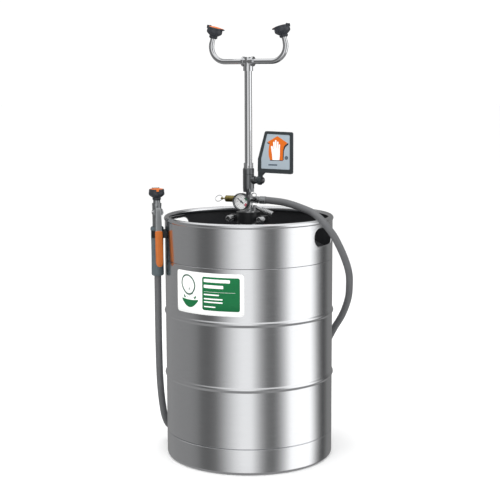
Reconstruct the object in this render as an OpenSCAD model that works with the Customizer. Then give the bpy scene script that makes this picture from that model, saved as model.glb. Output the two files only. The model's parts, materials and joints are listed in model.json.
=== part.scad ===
// Portable eyewash and drench hose station on a stainless pressure tank.
// Frame: origin at the centre of the tank's foot on the floor, +Z up, front is -Y.
// The fittings on top are turned by station_yaw, so that their own right side (U) comes forward.

/* [Tank] */
// Outer radius of the tank wall
tank_r = 205; // [195:1:215]
// Height of the tank over its rolled rim
tank_h = 594; // [580:1:640]
// Thickness of the sheet steel
sheet = 2; // [1.6:0.1:2.4]
// Height of the lower seam above the floor
seam_low = 63; // [56:1:72]
// Height of the upper seam above the floor
seam_high = 491; // [480:1:500]
// Heights of the two rolled rings
ring_heights = [206, 361];
// How far a rolled ring stands out of the wall
ring_out = 3; // [2:0.5:4]
// Radius of the bead rolled on the rim
bead_r = 6.5; // [5.5:0.5:7]
// Width of a hand hole
hand_w = 104; // [90:1:108]
// Height of a hand hole
hand_h = 45; // [38:1:47]
// Direction of the hand holes, turned from the front toward the right
hand_turn = 63; // [55:1:70]

/* [Yoke] */
// Turn of the fittings about the vertical axis
station_yaw = 25; // [20:1:28]
// Outer radius of the riser pipe
riser_r = 9; // [8.5:0.25:9.5]
// Outer radius of the two arms
arm_r = 6.5; // [6.25:0.25:7]
// Height of the arms above the floor
arm_z = 963.5; // [955:0.5:975]
// Straight reach of an arm before its bend
arm_reach = 62; // [58:1:68]
// Radius of the bend of an arm
bend_r = 36; // [32:1:40]
// Lean of a spray head toward the middle
head_lean = 15; // [10:1:20]

/* [Spray heads] */
// Outer radius of a spray head
head_r = 19; // [18.5:0.25:19.5]

/* [Valve and flag] */
// Outer radius of the ball valve
valve_r = 13.75; // [13:0.25:14]
// Height of the valve's turning axis
valve_z = 679; // [677:0.5:681]
// Radius of the ball
ball_r = 9; // [8.5:0.25:9]
// Thickness of the push flag
flag_t = 6; // [5:0.5:7]

/* [Drench handset] */
// Place of the handset's axis
handset_at = [-222, -30];
// Turn of the handset about its own axis
handset_turn = 12; // [6:1:14]
// Outer radius of the grip
grip_r = 15; // [14.5:0.25:15]
// Outer radius of the hose
hose_r = 8.5; // [8:0.25:8.5]

/* [Label] */
// Left and right ends of the label, turned from the front toward the left
label_turn = [3, 55];
// Bottom and top of the label
label_z = [380, 479];

/* [Hidden] */
$fn = 72;

steel = [0.74, 0.75, 0.76];
dark_metal = [0.33, 0.34, 0.35];
slate = [0.22, 0.24, 0.27];
signal_orange = [0.90, 0.45, 0.13];
brass = [0.62, 0.55, 0.30];
hose_grey = [0.48, 0.48, 0.48];

fit = 0.05;        // radial gap of a running fit
gap = 0.4;         // gap between parts that pass each other
spigot_r = arm_r - 0.4;  // pipe end inside a spray head
head_skirt = 2.2;  // how far a dished head sits inside the wall
dome_h = 60;       // rise of the top head
dish_h = 48;       // depth of the bottom head
neck_r = 22;       // grooved neck and closure cap
neck_bore = 18;
dome_flat_r = 34;  // flat seat for the neck
neck_z = seam_high + dome_h * sin(acos(dome_flat_r / (tank_r - head_skirt)));
cap_z = 590;       // underside of the closure cap
cap_top = 604;
coupling_z = [574, 601.5];
port_z = 631;      // side ports of the manifold
bolt_z = 585;
bolt_u = 41;

// Points of a quarter ellipse from the wall (radius r at height z) to radius r_end.
function dished(r, r_end, z, rise, n = 14) =
    [for (i = [0:n]) let (t = acos(r_end / r) * i / n) [r * cos(t), z + rise * sin(t)]];
// Points of a rolled ring on the wall, centred at height z.
function rolled_ring(r, z, out, half = 8) =
    [for (a = [-90:15:90]) [r + out * (1 + cos(2 * a)) / 2, z + half * a / 90]];
function reversed(list) = [for (i = [len(list) - 1:-1:0]) list[i]];
function unit(v) = v / norm(v);
// Corner of a polygon rounded with radius r by an arc of n steps.
function rounded_corner(a, b, c, r, n = 6) =
    let (u = unit(a - b), v = unit(c - b), half = acos(u * v) / 2,
         m = b + unit(u + v) * r / sin(half), from = b + u * r / tan(half) - m,
         to = b + v * r / tan(half) - m, ends = [atan2(from[1], from[0]), atan2(to[1], to[0])],
         turn = (ends[1] - ends[0] + 540) % 360 - 180)
    [for (i = [0:n]) m + r * [cos(ends[0] + turn * i / n), sin(ends[0] + turn * i / n)]];
function rounded(points, r) =
    [for (i = [0:len(points) - 1]) each rounded_corner(points[(i + len(points) - 1) % len(points)],
        points[i], points[(i + 1) % len(points)], r)];

// The turned frame of the fittings: X is U, Y is V.
module fittings() { rotate([0, 0, -station_yaw]) children(); }
// A cylinder along U from u0 to u1.
module along_u(u0, u1, r, z = 0, fn = $fn) {
    translate([u0, 0, z]) rotate([0, 90, 0]) cylinder(r = r, h = u1 - u0, $fn = fn);
}
// A cylinder along V from v0 to v1.
module along_v(v0, v1, r, fn = $fn) {
    translate([0, v1, 0]) rotate([90, 0, 0]) cylinder(r = r, h = v1 - v0, $fn = fn);
}
module tube(r_out, r_in, z0, z1) {
    translate([0, 0, z0]) difference() {
        cylinder(r = r_out, h = z1 - z0);
        translate([0, 0, -1]) cylinder(r = r_in, h = z1 - z0 + 2);
    }
}
// Stack of round ribs, turned as one piece.
module ribbed(r, h, pitch, bore) {
    ribs = floor(h / pitch);
    rotate_extrude() polygon(concat([[bore, 0]],
        [for (i = [0:ribs - 1]) each [[r - 0.9, i * pitch], [r, (i + 0.3) * pitch],
            [r, (i + 0.7) * pitch], [r - 0.9, (i + 0.98) * pitch]]],
        [[r - 0.9, h], [bore, h]]));
}

// ---- Tank -------------------------------------------------------------------------------
module tank_shell() {
    skirt_r = tank_r - head_skirt;
    groove = 1.2;
    outer = concat(reversed(dished(skirt_r, 1, seam_low, -dish_h)),
        [[tank_r, seam_low], [tank_r - groove, seam_low], [tank_r - groove, seam_low + 2],
         [tank_r, seam_low + 2]],
        [for (z = ring_heights) each rolled_ring(tank_r, z, ring_out)],
        [[tank_r, seam_high]], dished(skirt_r, dome_flat_r, seam_high, dome_h),
        [[neck_bore, neck_z]]);
    inner = concat([[neck_bore, neck_z - sheet]],
        reversed(dished(skirt_r - sheet, dome_flat_r, seam_high - 2, dome_h)),
        [for (z = reversed(ring_heights)) each reversed(rolled_ring(tank_r - sheet, z, ring_out))],
        dished(skirt_r - sheet, 1, seam_low + 4, -dish_h + 1));
    color(steel) rotate_extrude($fn = 144)
        polygon(concat([[0, seam_low - dish_h]], outer, inner, [[0, seam_low + 5 - dish_h]]));
}

// Wall of a chime, rolled round a bead at its rim, with two hand holes.
module top_chime() {
    bead_z = tank_h - bead_r;
    hand_z = 552.5;
    color(steel) difference() {
        union() {
            translate([0, 0, seam_high]) rotate_extrude($fn = 144)
                translate([tank_r - sheet, 0]) square([sheet, bead_z - seam_high]);
            translate([0, 0, bead_z]) rotate_extrude($fn = 144)
                translate([tank_r - 4.5, 0]) circle(r = bead_r, $fn = 36);
        }
        rotate([0, 0, hand_turn - 90]) translate([0, 0, hand_z]) rotate([0, 90, 0]) {
            corner = hand_h / 2 - 2;
            translate([0, 0, -tank_r - 20]) linear_extrude(2 * tank_r + 40) {
                square([hand_h, hand_w - 2 * corner], center = true);
                square([hand_h - 2 * corner, hand_w], center = true);
                for (x = [-1, 1], y = [-1, 1])
                    translate([x * (hand_h / 2 - corner), y * (hand_w / 2 - corner)])
                        circle(r = corner);
            }
        }
        screw_bores();
    }
}

module bottom_chime() {
    fold = 8;
    outer = [for (a = [0:15:90]) [tank_r - fold + fold * cos(a), fold - fold * sin(a)]];
    inner = [for (a = [90:-15:0])
        [tank_r - fold + (fold - sheet) * cos(a), fold - (fold - sheet) * sin(a)]];
    color(steel) rotate_extrude($fn = 144)
        polygon(concat([[tank_r - sheet, seam_low], [tank_r, seam_low]], outer,
            [[tank_r - 17, 0], [tank_r - 17, sheet]], inner));
}

module tank_neck() {
    flange_r = 30;
    color(steel) difference() {
        union() {
            tube(flange_r, neck_bore, neck_z, neck_z + 4);
            tube(neck_r, neck_bore, neck_z, cap_z - 2);
        }
        tube(neck_r + 1, neck_r - 1.6, 575.6, 579.4);
    }
}

module tank_label() {
    thickness = 0.5;
    color("white") rotate([0, 0, -90 - label_turn[1]]) translate([0, 0, label_z[0]])
        rotate_extrude(angle = label_turn[1] - label_turn[0], $fn = 144)
            translate([tank_r, 0]) square([thickness, label_z[1] - label_z[0]]);
}

// ---- Closure ----------------------------------------------------------------------------
module closure_cap() {
    color(steel) difference() {
        translate([0, 0, cap_z]) cylinder(r = neck_r, h = cap_top - cap_z);
        translate([0, 0, cap_z - 1]) cylinder(r = 4.5, h = 20);
        tube(neck_r + 1, neck_r - 1.6, 596.2, 599.8);
        fittings() translate([air_u, 0, cap_top - 8]) cylinder(r = 2, h = 9);
    }
}

module closure_gasket() {
    color([0.1, 0.1, 0.1]) tube(26.5 - fit, neck_r + fit, 582, 595);
}

// One half of the grooved coupling; side is -1 for the front half, 1 for the rear half.
module coupling_half(side) {
    shell_r = 30;
    color([0.13, 0.13, 0.14]) fittings() difference() {
        union() {
            translate([0, 0, coupling_z[0]])
                cylinder(r = shell_r, h = coupling_z[1] - coupling_z[0]);
            for (u = [-bolt_u, bolt_u]) translate([u - 9, -9, 577]) cube([18, 18, 16]);
            for (u = [-1, 1]) translate([u * 29 - 6, -9, 577]) cube([12, 18, 16]);
        }
        tube(26.5, 0.01, 582, 595);
        tube(neck_r + gap, 0.01, coupling_z[0] - 1, 583);
        tube(neck_r + gap, 0.01, 594, coupling_z[1] + 1);
        translate([-60, side > 0 ? -60.5 : -0.5, 570]) cube([120, 61, 40]);
        for (u = [-bolt_u, bolt_u]) translate([u, 0, bolt_z]) along_v(-20, 20, 4.2);
    }
    color([0.13, 0.13, 0.14]) fittings() difference() {
        union() {
            tube(neck_r + 1, neck_r - 1.2, 576, 579);
            tube(neck_r + 1, neck_r - 1.2, 596.6, 599.4);
        }
        translate([-60, side > 0 ? -60.5 : -0.5, 570]) cube([120, 61, 40]);
    }
}
module coupling_front() { coupling_half(-1); }
module coupling_rear() { coupling_half(1); }

// Two bolts with ribbed hand nuts in front of the ears.
module coupling_bolts() {
    color(steel) fittings() for (u = [-bolt_u, bolt_u]) translate([u, 0, bolt_z]) {
        along_v(-12, 9, 4);
        along_v(9, 16, 7, 6);
        translate([0, -9, 0]) rotate([90, 0, 0]) ribbed(8, 22, 3.6, 4.3);
        translate([0, -9, 0]) rotate([90, 0, 0]) cylinder(r = 4.4, h = 19);
    }
}

module dip_tube() {
    color(steel) tube(6, 4.8, 46, cap_z);
}

module dip_strainer() {
    color(brass) difference() {
        tube(9, 7.4, 24, 46);
        for (a = [0:60:300], z = [28:5:38]) rotate([0, 0, a]) translate([0, -0.8, z])
            cube([12, 1.6, 2.6]);
    }
    color(brass) tube(9, 6 + fit, 46, 49);
}

// ---- Air valve --------------------------------------------------------------------------
air_u = 17;
air_z = 612.5;
air_slope = 18;
module air_frame() { fittings() translate([air_u, 0, air_z]) rotate([0, 90 + air_slope, 0]) children(); }
module air_valve() {
    color(steel) {
        fittings() translate([air_u, 0, cap_top]) cylinder(r = 5, h = air_z - cap_top + 5);
        air_frame() cylinder(r = 4.2, h = 17);
        air_frame() cylinder(r = 3.8, h = 30);
    }
}
module air_valve_cap() {
    color(slate) air_frame() difference() {
        translate([0, 0, 17 + gap]) ribbed(7, 32, 3.6, 0);
        translate([0, 0, 17]) cylinder(r = 3.8 + 2 * fit, h = 14);
    }
}

// ---- Manifold and gauge -----------------------------------------------------------------
module manifold() {
    color([0.6, 0.6, 0.6]) fittings() difference() {
        union() {
            translate([0, 0, cap_top]) cylinder(r = 11, h = 9, $fn = 6);
            translate([0, 0, cap_top]) cylinder(r = 9.5, h = 38);
            along_u(-18, 18, 8, port_z);
            translate([0, 0, port_z]) along_v(-18, 0, 8);
        }
        translate([0, 0, cap_top - 1]) cylinder(r = 4.5, h = 40);
        along_u(-19, 19, 4, port_z);
        translate([0, 0, port_z]) along_v(-19, 0, 3);
    }
}

gauge_back = -33;
gauge_r = 20.5;
module gauge_frame() { fittings() translate([0, gauge_back, port_z - 1]) rotate([90, 0, 0]) children(); }
module gauge_case() {
    color([0.25, 0.26, 0.27]) difference() {
        union() {
            gauge_frame() cylinder(r = gauge_r - 1, h = 15);
            gauge_frame() translate([0, 0, 11]) cylinder(r = gauge_r, h = 4);
        }
        gauge_frame() translate([0, 0, 2]) cylinder(r = gauge_r - 2, h = 20);
    }
    color(brass) fittings() translate([0, 0, port_z]) difference() {
        union() {
            along_v(gauge_back, -18, 5.5);
            along_v(-26, -18.2, 8, 6);
        }
        along_v(gauge_back + 1, -17, 2);
    }
}
module gauge_face() {
    color("white") gauge_frame() difference() {
        translate([0, 0, 2]) cylinder(r = gauge_r - 2 - fit, h = 2);
        cylinder(r = 1.5 + fit, h = 10);
    }
}
// The needle points up and to the left at rest.
needle_rest = 52;
module gauge_needle() {
    color([0.1, 0.1, 0.1]) gauge_frame() {
        translate([0, 0, 2.4]) cylinder(r = 1.5, h = 4);
        translate([0, 0, 5]) cylinder(r = 2.4, h = 1.4);
        translate([0, 0, 5]) rotate([0, 0, needle_rest]) linear_extrude(1)
            polygon([[-1.3, -6], [1.3, -6], [0.5, 13], [-0.5, 13]]);
    }
}
module gauge_lens() {
    color([0.85, 0.92, 0.95], 0.4) gauge_frame() translate([0, 0, 12])
        cylinder(r = gauge_r - 2 - fit, h = 1.6);
}

// ---- Relief valve -----------------------------------------------------------------------
relief_end = -62;
pull_r = 1.5;
ring_wire = 0.9;
ring_r = 9;
ring_tilt = 50;
module relief_frame() { fittings() translate([0, 0, port_z]) children(); }
module relief_body() {
    color(brass) relief_frame() difference() {
        union() {
            along_u(-27, -18, 9, 0, 6);
            along_u(relief_end, -26, 8);
        }
        along_u(-24, -17, 3.5);
        along_u(relief_end + 3, -23, 6);
        along_u(relief_end - 1, -50, pull_r + 2 * fit);
    }
}
// Poppet, its pull stem, and the eye that holds the ring.
module relief_stem() {
    color(brass) relief_frame() {
        along_u(-26, -23.3, 5.6);
        along_u(-70, -25, pull_r);
        rotate([ring_tilt, 0, 0]) translate([-72, 0, 0]) difference() {
            along_v(-2, 2, 3.2);
            along_v(-3, 3, ring_wire + gap);
        }
    }
}
module relief_spring() {
    color(steel) relief_frame() translate([-26.3, 0, 0]) rotate([0, -90, 0])
        ribbed(4.8, 32.4, 3, 2.6);
}
module relief_ring() {
    color(steel) relief_frame() rotate([ring_tilt, 0, 0]) translate([-72 - ring_r, 0, 0])
        rotate_extrude($fn = 60) translate([ring_r, 0]) circle(r = ring_wire, $fn = 16);
}

// ---- Hose -------------------------------------------------------------------------------
module hose_barb() {
    color(steel) relief_frame() difference() {
        union() {
            along_u(18, 26, 9, 0, 6);
            along_u(26, 30, 7);
            along_u(30, 44, 5.6);
        }
        along_u(17, 45, 3.8);
    }
}
module hose_ferrule() {
    color([0.8, 0.8, 0.8]) relief_frame() difference() {
        along_u(30, 46, 9.6);
        along_u(29, 44, 5.6 + fit);
        along_u(43, 47, 5);
    }
}

// Hose route: out of the manifold, over the rim, down the right side and behind the tank.
route_right = [[61, -28.45, 631], [85, -45, 628], [107, -66, 624], [130, -94, 618],
    [148, -115, 612], [160, -127, 604], [170, -135, 596], [183, -143, 580], [198, -145, 560],
    [211, -139, 536], [223, -124, 510], [234, -100, 481], [241, -74, 454], [244, -44, 425],
    [245, -12, 393], [240, 20, 359], [231, 50, 327], [217, 77, 295], [201, 104, 254],
    [186, 129, 205], [171, 150, 154], [156, 169, 104], [138, 185, 60], [118, 199, 31],
    [94, 212, 15], [66, 228, 10], [30, 245, 9], [-4, 263, 9]];
// One loose turn that lies on the floor behind the tank.
loop_c = [10, 373];
loop_r = 100;
route_loop = [for (a = [-120:-30:-360]) [loop_c[0] + loop_r * cos(a), loop_c[1] + loop_r * sin(a), 9]];
// Off the turn, over the hose itself, along the back of the tank and up to the handset.
route_left = [[101, 323, 16], [80, 284, 25], [52, 257, 29], [20, 241, 27], [-20, 231, 17],
    [-60, 223, 10], [-102, 208, 9], [-139, 186, 9], [-170, 156, 12], [-194, 122, 22],
    [-209, 89, 40], [-216, 58, 70], [-219, 29, 108], [-221, 7, 149], [-222, -11, 196],
    [-222, -24, 250], [-222, -30, 305], [-222, -30, 360], [-222, -30, 410], [-222, -30, 448.8]];
exit_u = 46.2;
hose_exit = [exit_u * cos(station_yaw), -exit_u * sin(station_yaw), port_z];
hose_route = concat([hose_exit], route_right, route_loop, route_left);

function tangent(p, i) = unit(p[min(i + 1, len(p) - 1)] - p[max(i - 1, 0)]);
// Cross direction of each ring, carried along the route without twist.
function carried(p, n, i = 0, done = []) = i == len(p) ? done :
    let (t = tangent(p, i), side = unit(n - (n * t) * t)) carried(p, side, i + 1, concat(done, [side]));
module swept_tube(route, r, sides) {
    across = carried(route, [0, 0, 1]);
    rings = len(route);
    points = [for (i = [0:rings - 1]) let (up = cross(tangent(route, i), across[i]))
        for (k = [0:sides - 1]) let (a = 360 * k / sides)
            route[i] + r * (cos(a) * across[i] + sin(a) * up)];
    walls = [for (i = [0:rings - 2], k = [0:sides - 1])
        let (a = i * sides + k, b = i * sides + (k + 1) % sides)
        each [[a, b, b + sides], [a, b + sides, a + sides]]];
    caps = [[for (k = [sides - 1:-1:0]) k], [for (k = [0:sides - 1]) (rings - 1) * sides + k]];
    polyhedron(points = points, faces = [for (f = concat(walls, caps)) reversed(f)]);
}
module drench_hose() { color(hose_grey) swept_tube(hose_route, hose_r, 10); }

// ---- Ball valve -------------------------------------------------------------------------
cavity_h = 10;
module valve_nipple() { color(dark_metal) tube(6.5, 4.5, cap_top + 38, 650); }
module valve_body() {
    color(dark_metal) fittings() difference() {
        union() {
            translate([0, 0, 650]) cylinder(r = valve_r + 1, h = 9, $fn = 6);
            translate([0, 0, 650]) cylinder(r = valve_r, h = 42);
            along_u(0, 18, 8.5, valve_z);
        }
        translate([0, 0, 649]) cylinder(r = 6, h = 30);
        translate([0, 0, valve_z - cavity_h]) cylinder(r = ball_r + 0.4, h = 30);
        along_u(5, 19, 4 + fit, valve_z);
    }
}
module valve_end_cap() {
    color(dark_metal) {
        tube(valve_r, 6, 692, 708);
        tube(ball_r + 0.3, 6, valve_z + cavity_h, 692);
    }
}
module valve_seats() {
    color("white") for (side = [-1, 1]) translate([0, 0, valve_z + side * 7.75]) difference() {
        cylinder(r = ball_r + 0.3, h = 4.4, center = true);
        cylinder(r = 6, h = 10, center = true);
        translate([0, 0, -side * 7.75]) sphere(r = ball_r + fit);
    }
}
module valve_ball() {
    color([0.8, 0.8, 0.8]) fittings() translate([0, 0, valve_z]) difference() {
        sphere(r = ball_r);
        along_v(-20, 20, 5.5);
        translate([ball_r - 2, -1.5, -20]) cube([10, 3, 40]);
    }
}
module valve_stem() {
    color([0.7, 0.7, 0.7]) fittings() translate([0, 0, valve_z]) {
        along_u(ball_r + 0.6, 42, 4);
        translate([ball_r - 2, -1.4, -3]) cube([3, 2.8, 6]);
    }
}
module valve_gland_nut() {
    color(dark_metal) fittings() difference() {
        along_u(18, 24, 8.5, valve_z, 6);
        along_u(17, 25, 4 + fit, valve_z);
    }
}

// ---- Push flag --------------------------------------------------------------------------
flag_outline = [[43, 119], [117, 117], [117, 17], [41, 19], [34, 12], [34, -4], [25, -4],
    [25, 52]];
panel_outline = [[50, 112], [110, 110.5], [110, 23.5], [32, 25.5], [32, 53]];
panel_t = 2;
module flag_frame() { fittings() translate([0, 0, valve_z]) rotate([90, 0, 0]) children(); }
module flag_handle() {
    color([0.28, 0.31, 0.32]) difference() {
        union() {
            flag_frame() translate([0, 0, -flag_t / 2]) linear_extrude(flag_t)
                polygon(rounded(flag_outline, 3.5));
            fittings() along_u(24.6, 36, 9, valve_z);
        }
        fittings() along_u(24, 40, 4 + fit, valve_z);
        flag_frame() translate([0, 0, flag_t / 2 - panel_t]) linear_extrude(panel_t + 1)
            polygon(rounded(panel_outline, 2.5));
    }
}
module flag_panel() {
    color([0.66, 0.71, 0.76]) flag_frame() translate([0, 0, flag_t / 2 - panel_t])
        linear_extrude(panel_t - 0.4) polygon(rounded(panel_outline, 2.5));
}
module flag_nut() {
    color(dark_metal) fittings() difference() {
        along_u(36, 40.5, 7.5, valve_z, 6);
        along_u(35, 42, 4 + fit, valve_z);
    }
}

// ---- Yoke -------------------------------------------------------------------------------
riser_z = [708, 945];
module riser_nut() {
    color(steel) fittings() difference() {
        union() {
            translate([0, 0, 708]) cylinder(r = 12.2, h = 6, $fn = 6);
            translate([0, 0, 708]) cylinder(r = 11.5, h = 12);
        }
        translate([0, 0, 707]) cylinder(r = riser_r + fit, h = 20);
    }
}
module riser_pipe() { color(steel) tube(riser_r, riser_r - 1.7, riser_z[0], riser_z[1]); }
module yoke_tee() {
    color(steel) fittings() difference() {
        union() {
            translate([0, 0, 941]) cylinder(r = 12, h = 12);
            translate([0, 0, 941]) cylinder(r = 10.5, h = arm_z + 10.8 - 941);
            along_u(-14, 14, 10.5, arm_z);
            for (u = [-15, 10]) along_u(u, u + 5, 11.8, arm_z);
        }
        translate([0, 0, 940]) cylinder(r = riser_r + fit, h = riser_z[1] - 940);
        translate([0, 0, 940]) cylinder(r = 6, h = arm_z - 940);
        along_u(-16, 16, arm_r + fit, arm_z);
    }
}
// One arm in the U-Z plane: out, round the bend, and up as a turned spigot inside its spray head.
module arm_rod(start, r, spigot, end) {
    along_u(start, arm_reach, r, arm_z);
    translate([arm_reach, 0, arm_z + bend_r]) rotate([90, 0, 0]) rotate([0, 0, -90])
        rotate_extrude(angle = 90 + head_lean) translate([bend_r, 0]) circle(r = r, $fn = 36);
    head_frame() translate([0, 0, -1.5]) cylinder(r = spigot, h = end + 1.5);
}
module arm() {
    wall = 1.4;
    color(steel) difference() {
        arm_rod(4, arm_r, spigot_r, 18);
        arm_rod(3, arm_r - wall, spigot_r - wall, 19);
    }
}
module right_arm() { fittings() arm(); }
module left_arm() { fittings() mirror([1, 0, 0]) arm(); }

// ---- Spray heads ------------------------------------------------------------------------
// Frame at the end of an arm's bend, its Z along the head.
module head_frame() {
    translate([arm_reach + bend_r * cos(head_lean), 0, arm_z + bend_r * (1 + sin(head_lean))])
        rotate([0, -head_lean, 0]) children();
}
head_top = 38.3;
hinge_x = 17.4;
hinge_z = 38.3;
pin_r = 0.9;
module spray_head(rest) {
    color(slate) difference() {
        union() {
            rotate_extrude() polygon([[0, 11], [8.4, 11], [10.4, 13.6], [10.4, 15.5], [9.7, 16.4],
                [9.7, 17.4], [head_r - 1, 23.5], [head_r, 25.5], [head_r, 29],
                [head_r - 1.2, head_top - 0.8], [head_r - 1.8, head_top], [0, head_top]]);
            for (y = [-9, 6]) translate([hinge_x, y, 0]) {
                translate([0, 0, hinge_z]) rotate([-90, 0, 0]) cylinder(r = 1.9, h = 3);
                translate([-1.9, 0, head_top - 6]) cube([3.2, 3, 6]);
            }
            if (rest) translate([0, 4, 0]) rotate([90, 0, 0]) linear_extrude(8)
                polygon([[-15, 33], [-15, head_top], [-23.4, head_top], [-23.8, 35.6], [-21, 34.8]]);
        }
        translate([0, 0, 26]) cylinder(r = 16.2, h = 20);
        translate([0, 0, 10]) cylinder(r = spigot_r + fit, h = 8.2);
        cylinder(r = 4.5, h = 30);
        translate([13, -6, hinge_z - 2.1]) cube([8, 12, 6]);
        translate([hinge_x, 0, hinge_z]) along_v(-10, 10, pin_r + fit);
    }
}
module spray_screen() {
    color([0.55, 0.57, 0.6]) translate([0, 0, 26]) difference() {
        cylinder(r = 16.2 - fit, h = 6);
        translate([0, 0, -1]) cylinder(r = 14, h = 5);
        for (a = [0:30:330]) rotate([0, 0, a]) translate([11, 0, -1]) cylinder(r = 1, h = 9);
        for (a = [0:60:300]) rotate([0, 0, a]) translate([5.5, 0, -1]) cylinder(r = 1, h = 9);
    }
}
// Flip-up cover with its finger tab opposite the hinge.
module dust_cover(lip) {
    color(signal_orange) difference() {
        union() {
            rotate_extrude() polygon([[0, 35], [15, 35], [15, 36.6], [15.8, 36.9], [15.8, head_top],
                [13, head_top + 1.4], [7, head_top + 2.4], [0, head_top + 2.7]]);
            translate([-22.6, -3.5, head_top + gap]) cube([13, 7, 1.5]);
            if (lip) translate([-22.6, -3.5, head_top - 5]) cube([2, 7, 6]);
            translate([10, -5.4, head_top - 0.8]) cube([hinge_x - 10, 10.8, 1.6]);
            translate([hinge_x, 0, hinge_z]) along_v(-5.6, 5.6, 1.7);
        }
        translate([0, 0, 34]) cylinder(r = 13.4, h = 3.6);
        translate([hinge_x, 0, hinge_z]) along_v(-6, 6, pin_r + fit);
    }
}
module cover_pin() { color("silver") translate([hinge_x, 0, hinge_z]) along_v(-9.4, 9.4, pin_r); }
module right_side() { fittings() head_frame() children(); }
module left_side() { fittings() mirror([1, 0, 0]) head_frame() children(); }
module right_head() { right_side() spray_head(true); }
module left_head() { left_side() spray_head(true); }
module right_screen() { right_side() spray_screen(); }
module left_screen() { left_side() spray_screen(); }
module right_cover() { right_side() dust_cover(false); }
module left_cover() { left_side() dust_cover(false); }
module cover_pins() {
    right_side() cover_pin();
    left_side() cover_pin();
}

// ---- Drench handset ---------------------------------------------------------------------
// Frame on the handset's axis; its front, where the lever is, is -Y.
module handset_frame() {
    translate([handset_at[0], handset_at[1], 0]) rotate([0, 0, handset_turn]) children();
}
spout_z = 622;
collar_z = 560;
pivot_y = -19;
pivot_z = 606;
plunger_z = 586;
// The spray head faces up with its hinge at the back.
module handset_top() { handset_frame() translate([0, 0, spout_z]) rotate([0, 0, 90]) children(); }
module handset_head() { handset_top() spray_head(false); }
module handset_screen() { handset_top() spray_screen(); }
module handset_cover() { handset_top() dust_cover(true); }
module handset_cover_pin() { handset_top() cover_pin(); }
module handset_body() {
    color([0.62, 0.64, 0.65]) handset_frame() difference() {
        union() {
            translate([0, 0, collar_z]) cylinder(r = 13, h = 8);
            translate([0, 0, collar_z]) cylinder(r = 11, h = 60);
            translate([0, 0, 620]) cylinder(r = 11.4, h = 6);
            translate([0, 0, 620]) cylinder(r = 8.6, h = 13);
            translate([0, 0, 620]) cylinder(r = spigot_r, h = 19);
            for (x = [-11, 7]) translate([x, pivot_y - 5, pivot_z - 7]) cube([4, 20, 14]);
        }
        translate([0, 0, 550]) cylinder(r = 4.5, h = 100);
        translate([0, pivot_y, pivot_z]) along_u(-20, 20, 2.5 + fit);
        translate([0, 0, plunger_z]) along_v(-20, 0, 3 + fit);
    }
}
module lever_pin() {
    color("silver") handset_frame() translate([0, pivot_y, pivot_z]) {
        along_u(-11.2, 11.2, 2.5);
        along_u(-14.5, -11, 5);
        along_u(11, 13, 4);
    }
}
// Button that the lever pushes; its stem slides in the valve body.
module handset_plunger() {
    color(brass) handset_frame() translate([0, 0, plunger_z]) {
        along_v(-17.4, -4.6, 3);
        along_v(-18.9, -17.3, 5);
    }
}
module handset_spring() {
    color(steel) handset_frame() translate([0, -11.2, plunger_z]) rotate([90, 0, 0])
        ribbed(4.6, 6, 1.8, 3.2);
}
// Squeeze lever: metal above, dipped in orange below.
lever_w = 18;
module handset_lever() {
    outline = [[-24.5, 617], [-17, 617], [-14, 608], [-14, 602], [-19, 592], [-25, 560], [-34, 500],
        [-36, 480], [-41, 475.6], [-44, 481], [-42, 510], [-33, 562], [-27, 600]];
    color(signal_orange) handset_frame() difference() {
        rotate([90, 0, 90]) translate([0, 0, -lever_w / 2]) linear_extrude(lever_w)
            polygon(outline);
        translate([0, pivot_y, pivot_z]) along_u(-20, 20, 2.5 + fit);
        translate([6.6, -30, 590]) cube([5, 30, 40]);
        translate([-11.6, -30, 590]) cube([5, 30, 40]);
    }
}
module handset_grip() {
    color([0.36, 0.40, 0.42]) handset_frame() difference() {
        rotate_extrude() polygon(concat([[0, 449], [grip_r - 4, 449]],
            [for (a = [-90:22.5:0]) [grip_r - 4 + 4 * cos(a), 453 + 4 * sin(a)]],
            [[grip_r, collar_z + gap], [16.6, collar_z + gap], [16.6, collar_z + 6],
             [15.2, collar_z + 9], [13 + fit, collar_z + 9], [13 + fit, collar_z], [0, collar_z]]));
        translate([0, 0, 440]) cylinder(r = 4.5, h = 130);
    }
}

// ---- Bracket ----------------------------------------------------------------------------
bracket_z = 551.5;
bracket_h = 17;
screw_r = 2.5;
screw_side = 13;
plate_out = 7;     // how far the bracket's plate stands out of the tank
screw_start = norm(handset_at) - tank_r - plate_out + 1;
screw_head = norm(handset_at) - tank_r + sheet + 0.85;
// Frame at the handset's axis with X toward the tank.
module bracket_frame() {
    translate([handset_at[0], handset_at[1], 0])
        rotate([0, 0, atan2(-handset_at[1], -handset_at[0])]) children();
}
module bracket() {
    ring_in = grip_r + gap;
    ring_out_r = 17.2;
    color([0.08, 0.08, 0.08]) difference() {
        union() {
            bracket_frame() translate([0, 0, bracket_z - bracket_h / 2]) {
                cylinder(r = ring_out_r, h = bracket_h);
                translate([0, -6, 0]) cube([24, 12, bracket_h]);
                translate([norm(handset_at) - tank_r - plate_out, -20, 0])
                    cube([10, 40, bracket_h]);
            }
        }
        translate([0, 0, 500]) cylinder(r = tank_r + fit, h = 100, $fn = 144);
        bracket_frame() {
            translate([0, 0, 500]) cylinder(r = ring_in, h = 100);
            translate([-40, -hose_r - 0.8, 500]) cube([40, 2 * hose_r + 1.6, 100]);
        }
        screw_bores();
    }
}
// Heads inside the rim, threads in the bracket's plate.
module bracket_screws() {
    color("silver") bracket_frame() for (side = [-1, 1])
        translate([screw_start + gap, side * screw_side, bracket_z]) rotate([0, 90, 0]) {
            cylinder(r = screw_r, h = screw_head - screw_start);
            translate([0, 0, screw_head - screw_start - gap]) cylinder(r = 4.4, h = 2.3);
        }
}
module screw_bores() {
    bracket_frame() for (side = [-1, 1]) translate([screw_start, side * screw_side, bracket_z])
        rotate([0, 90, 0]) cylinder(r = screw_r + fit, h = 30);
}

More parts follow.
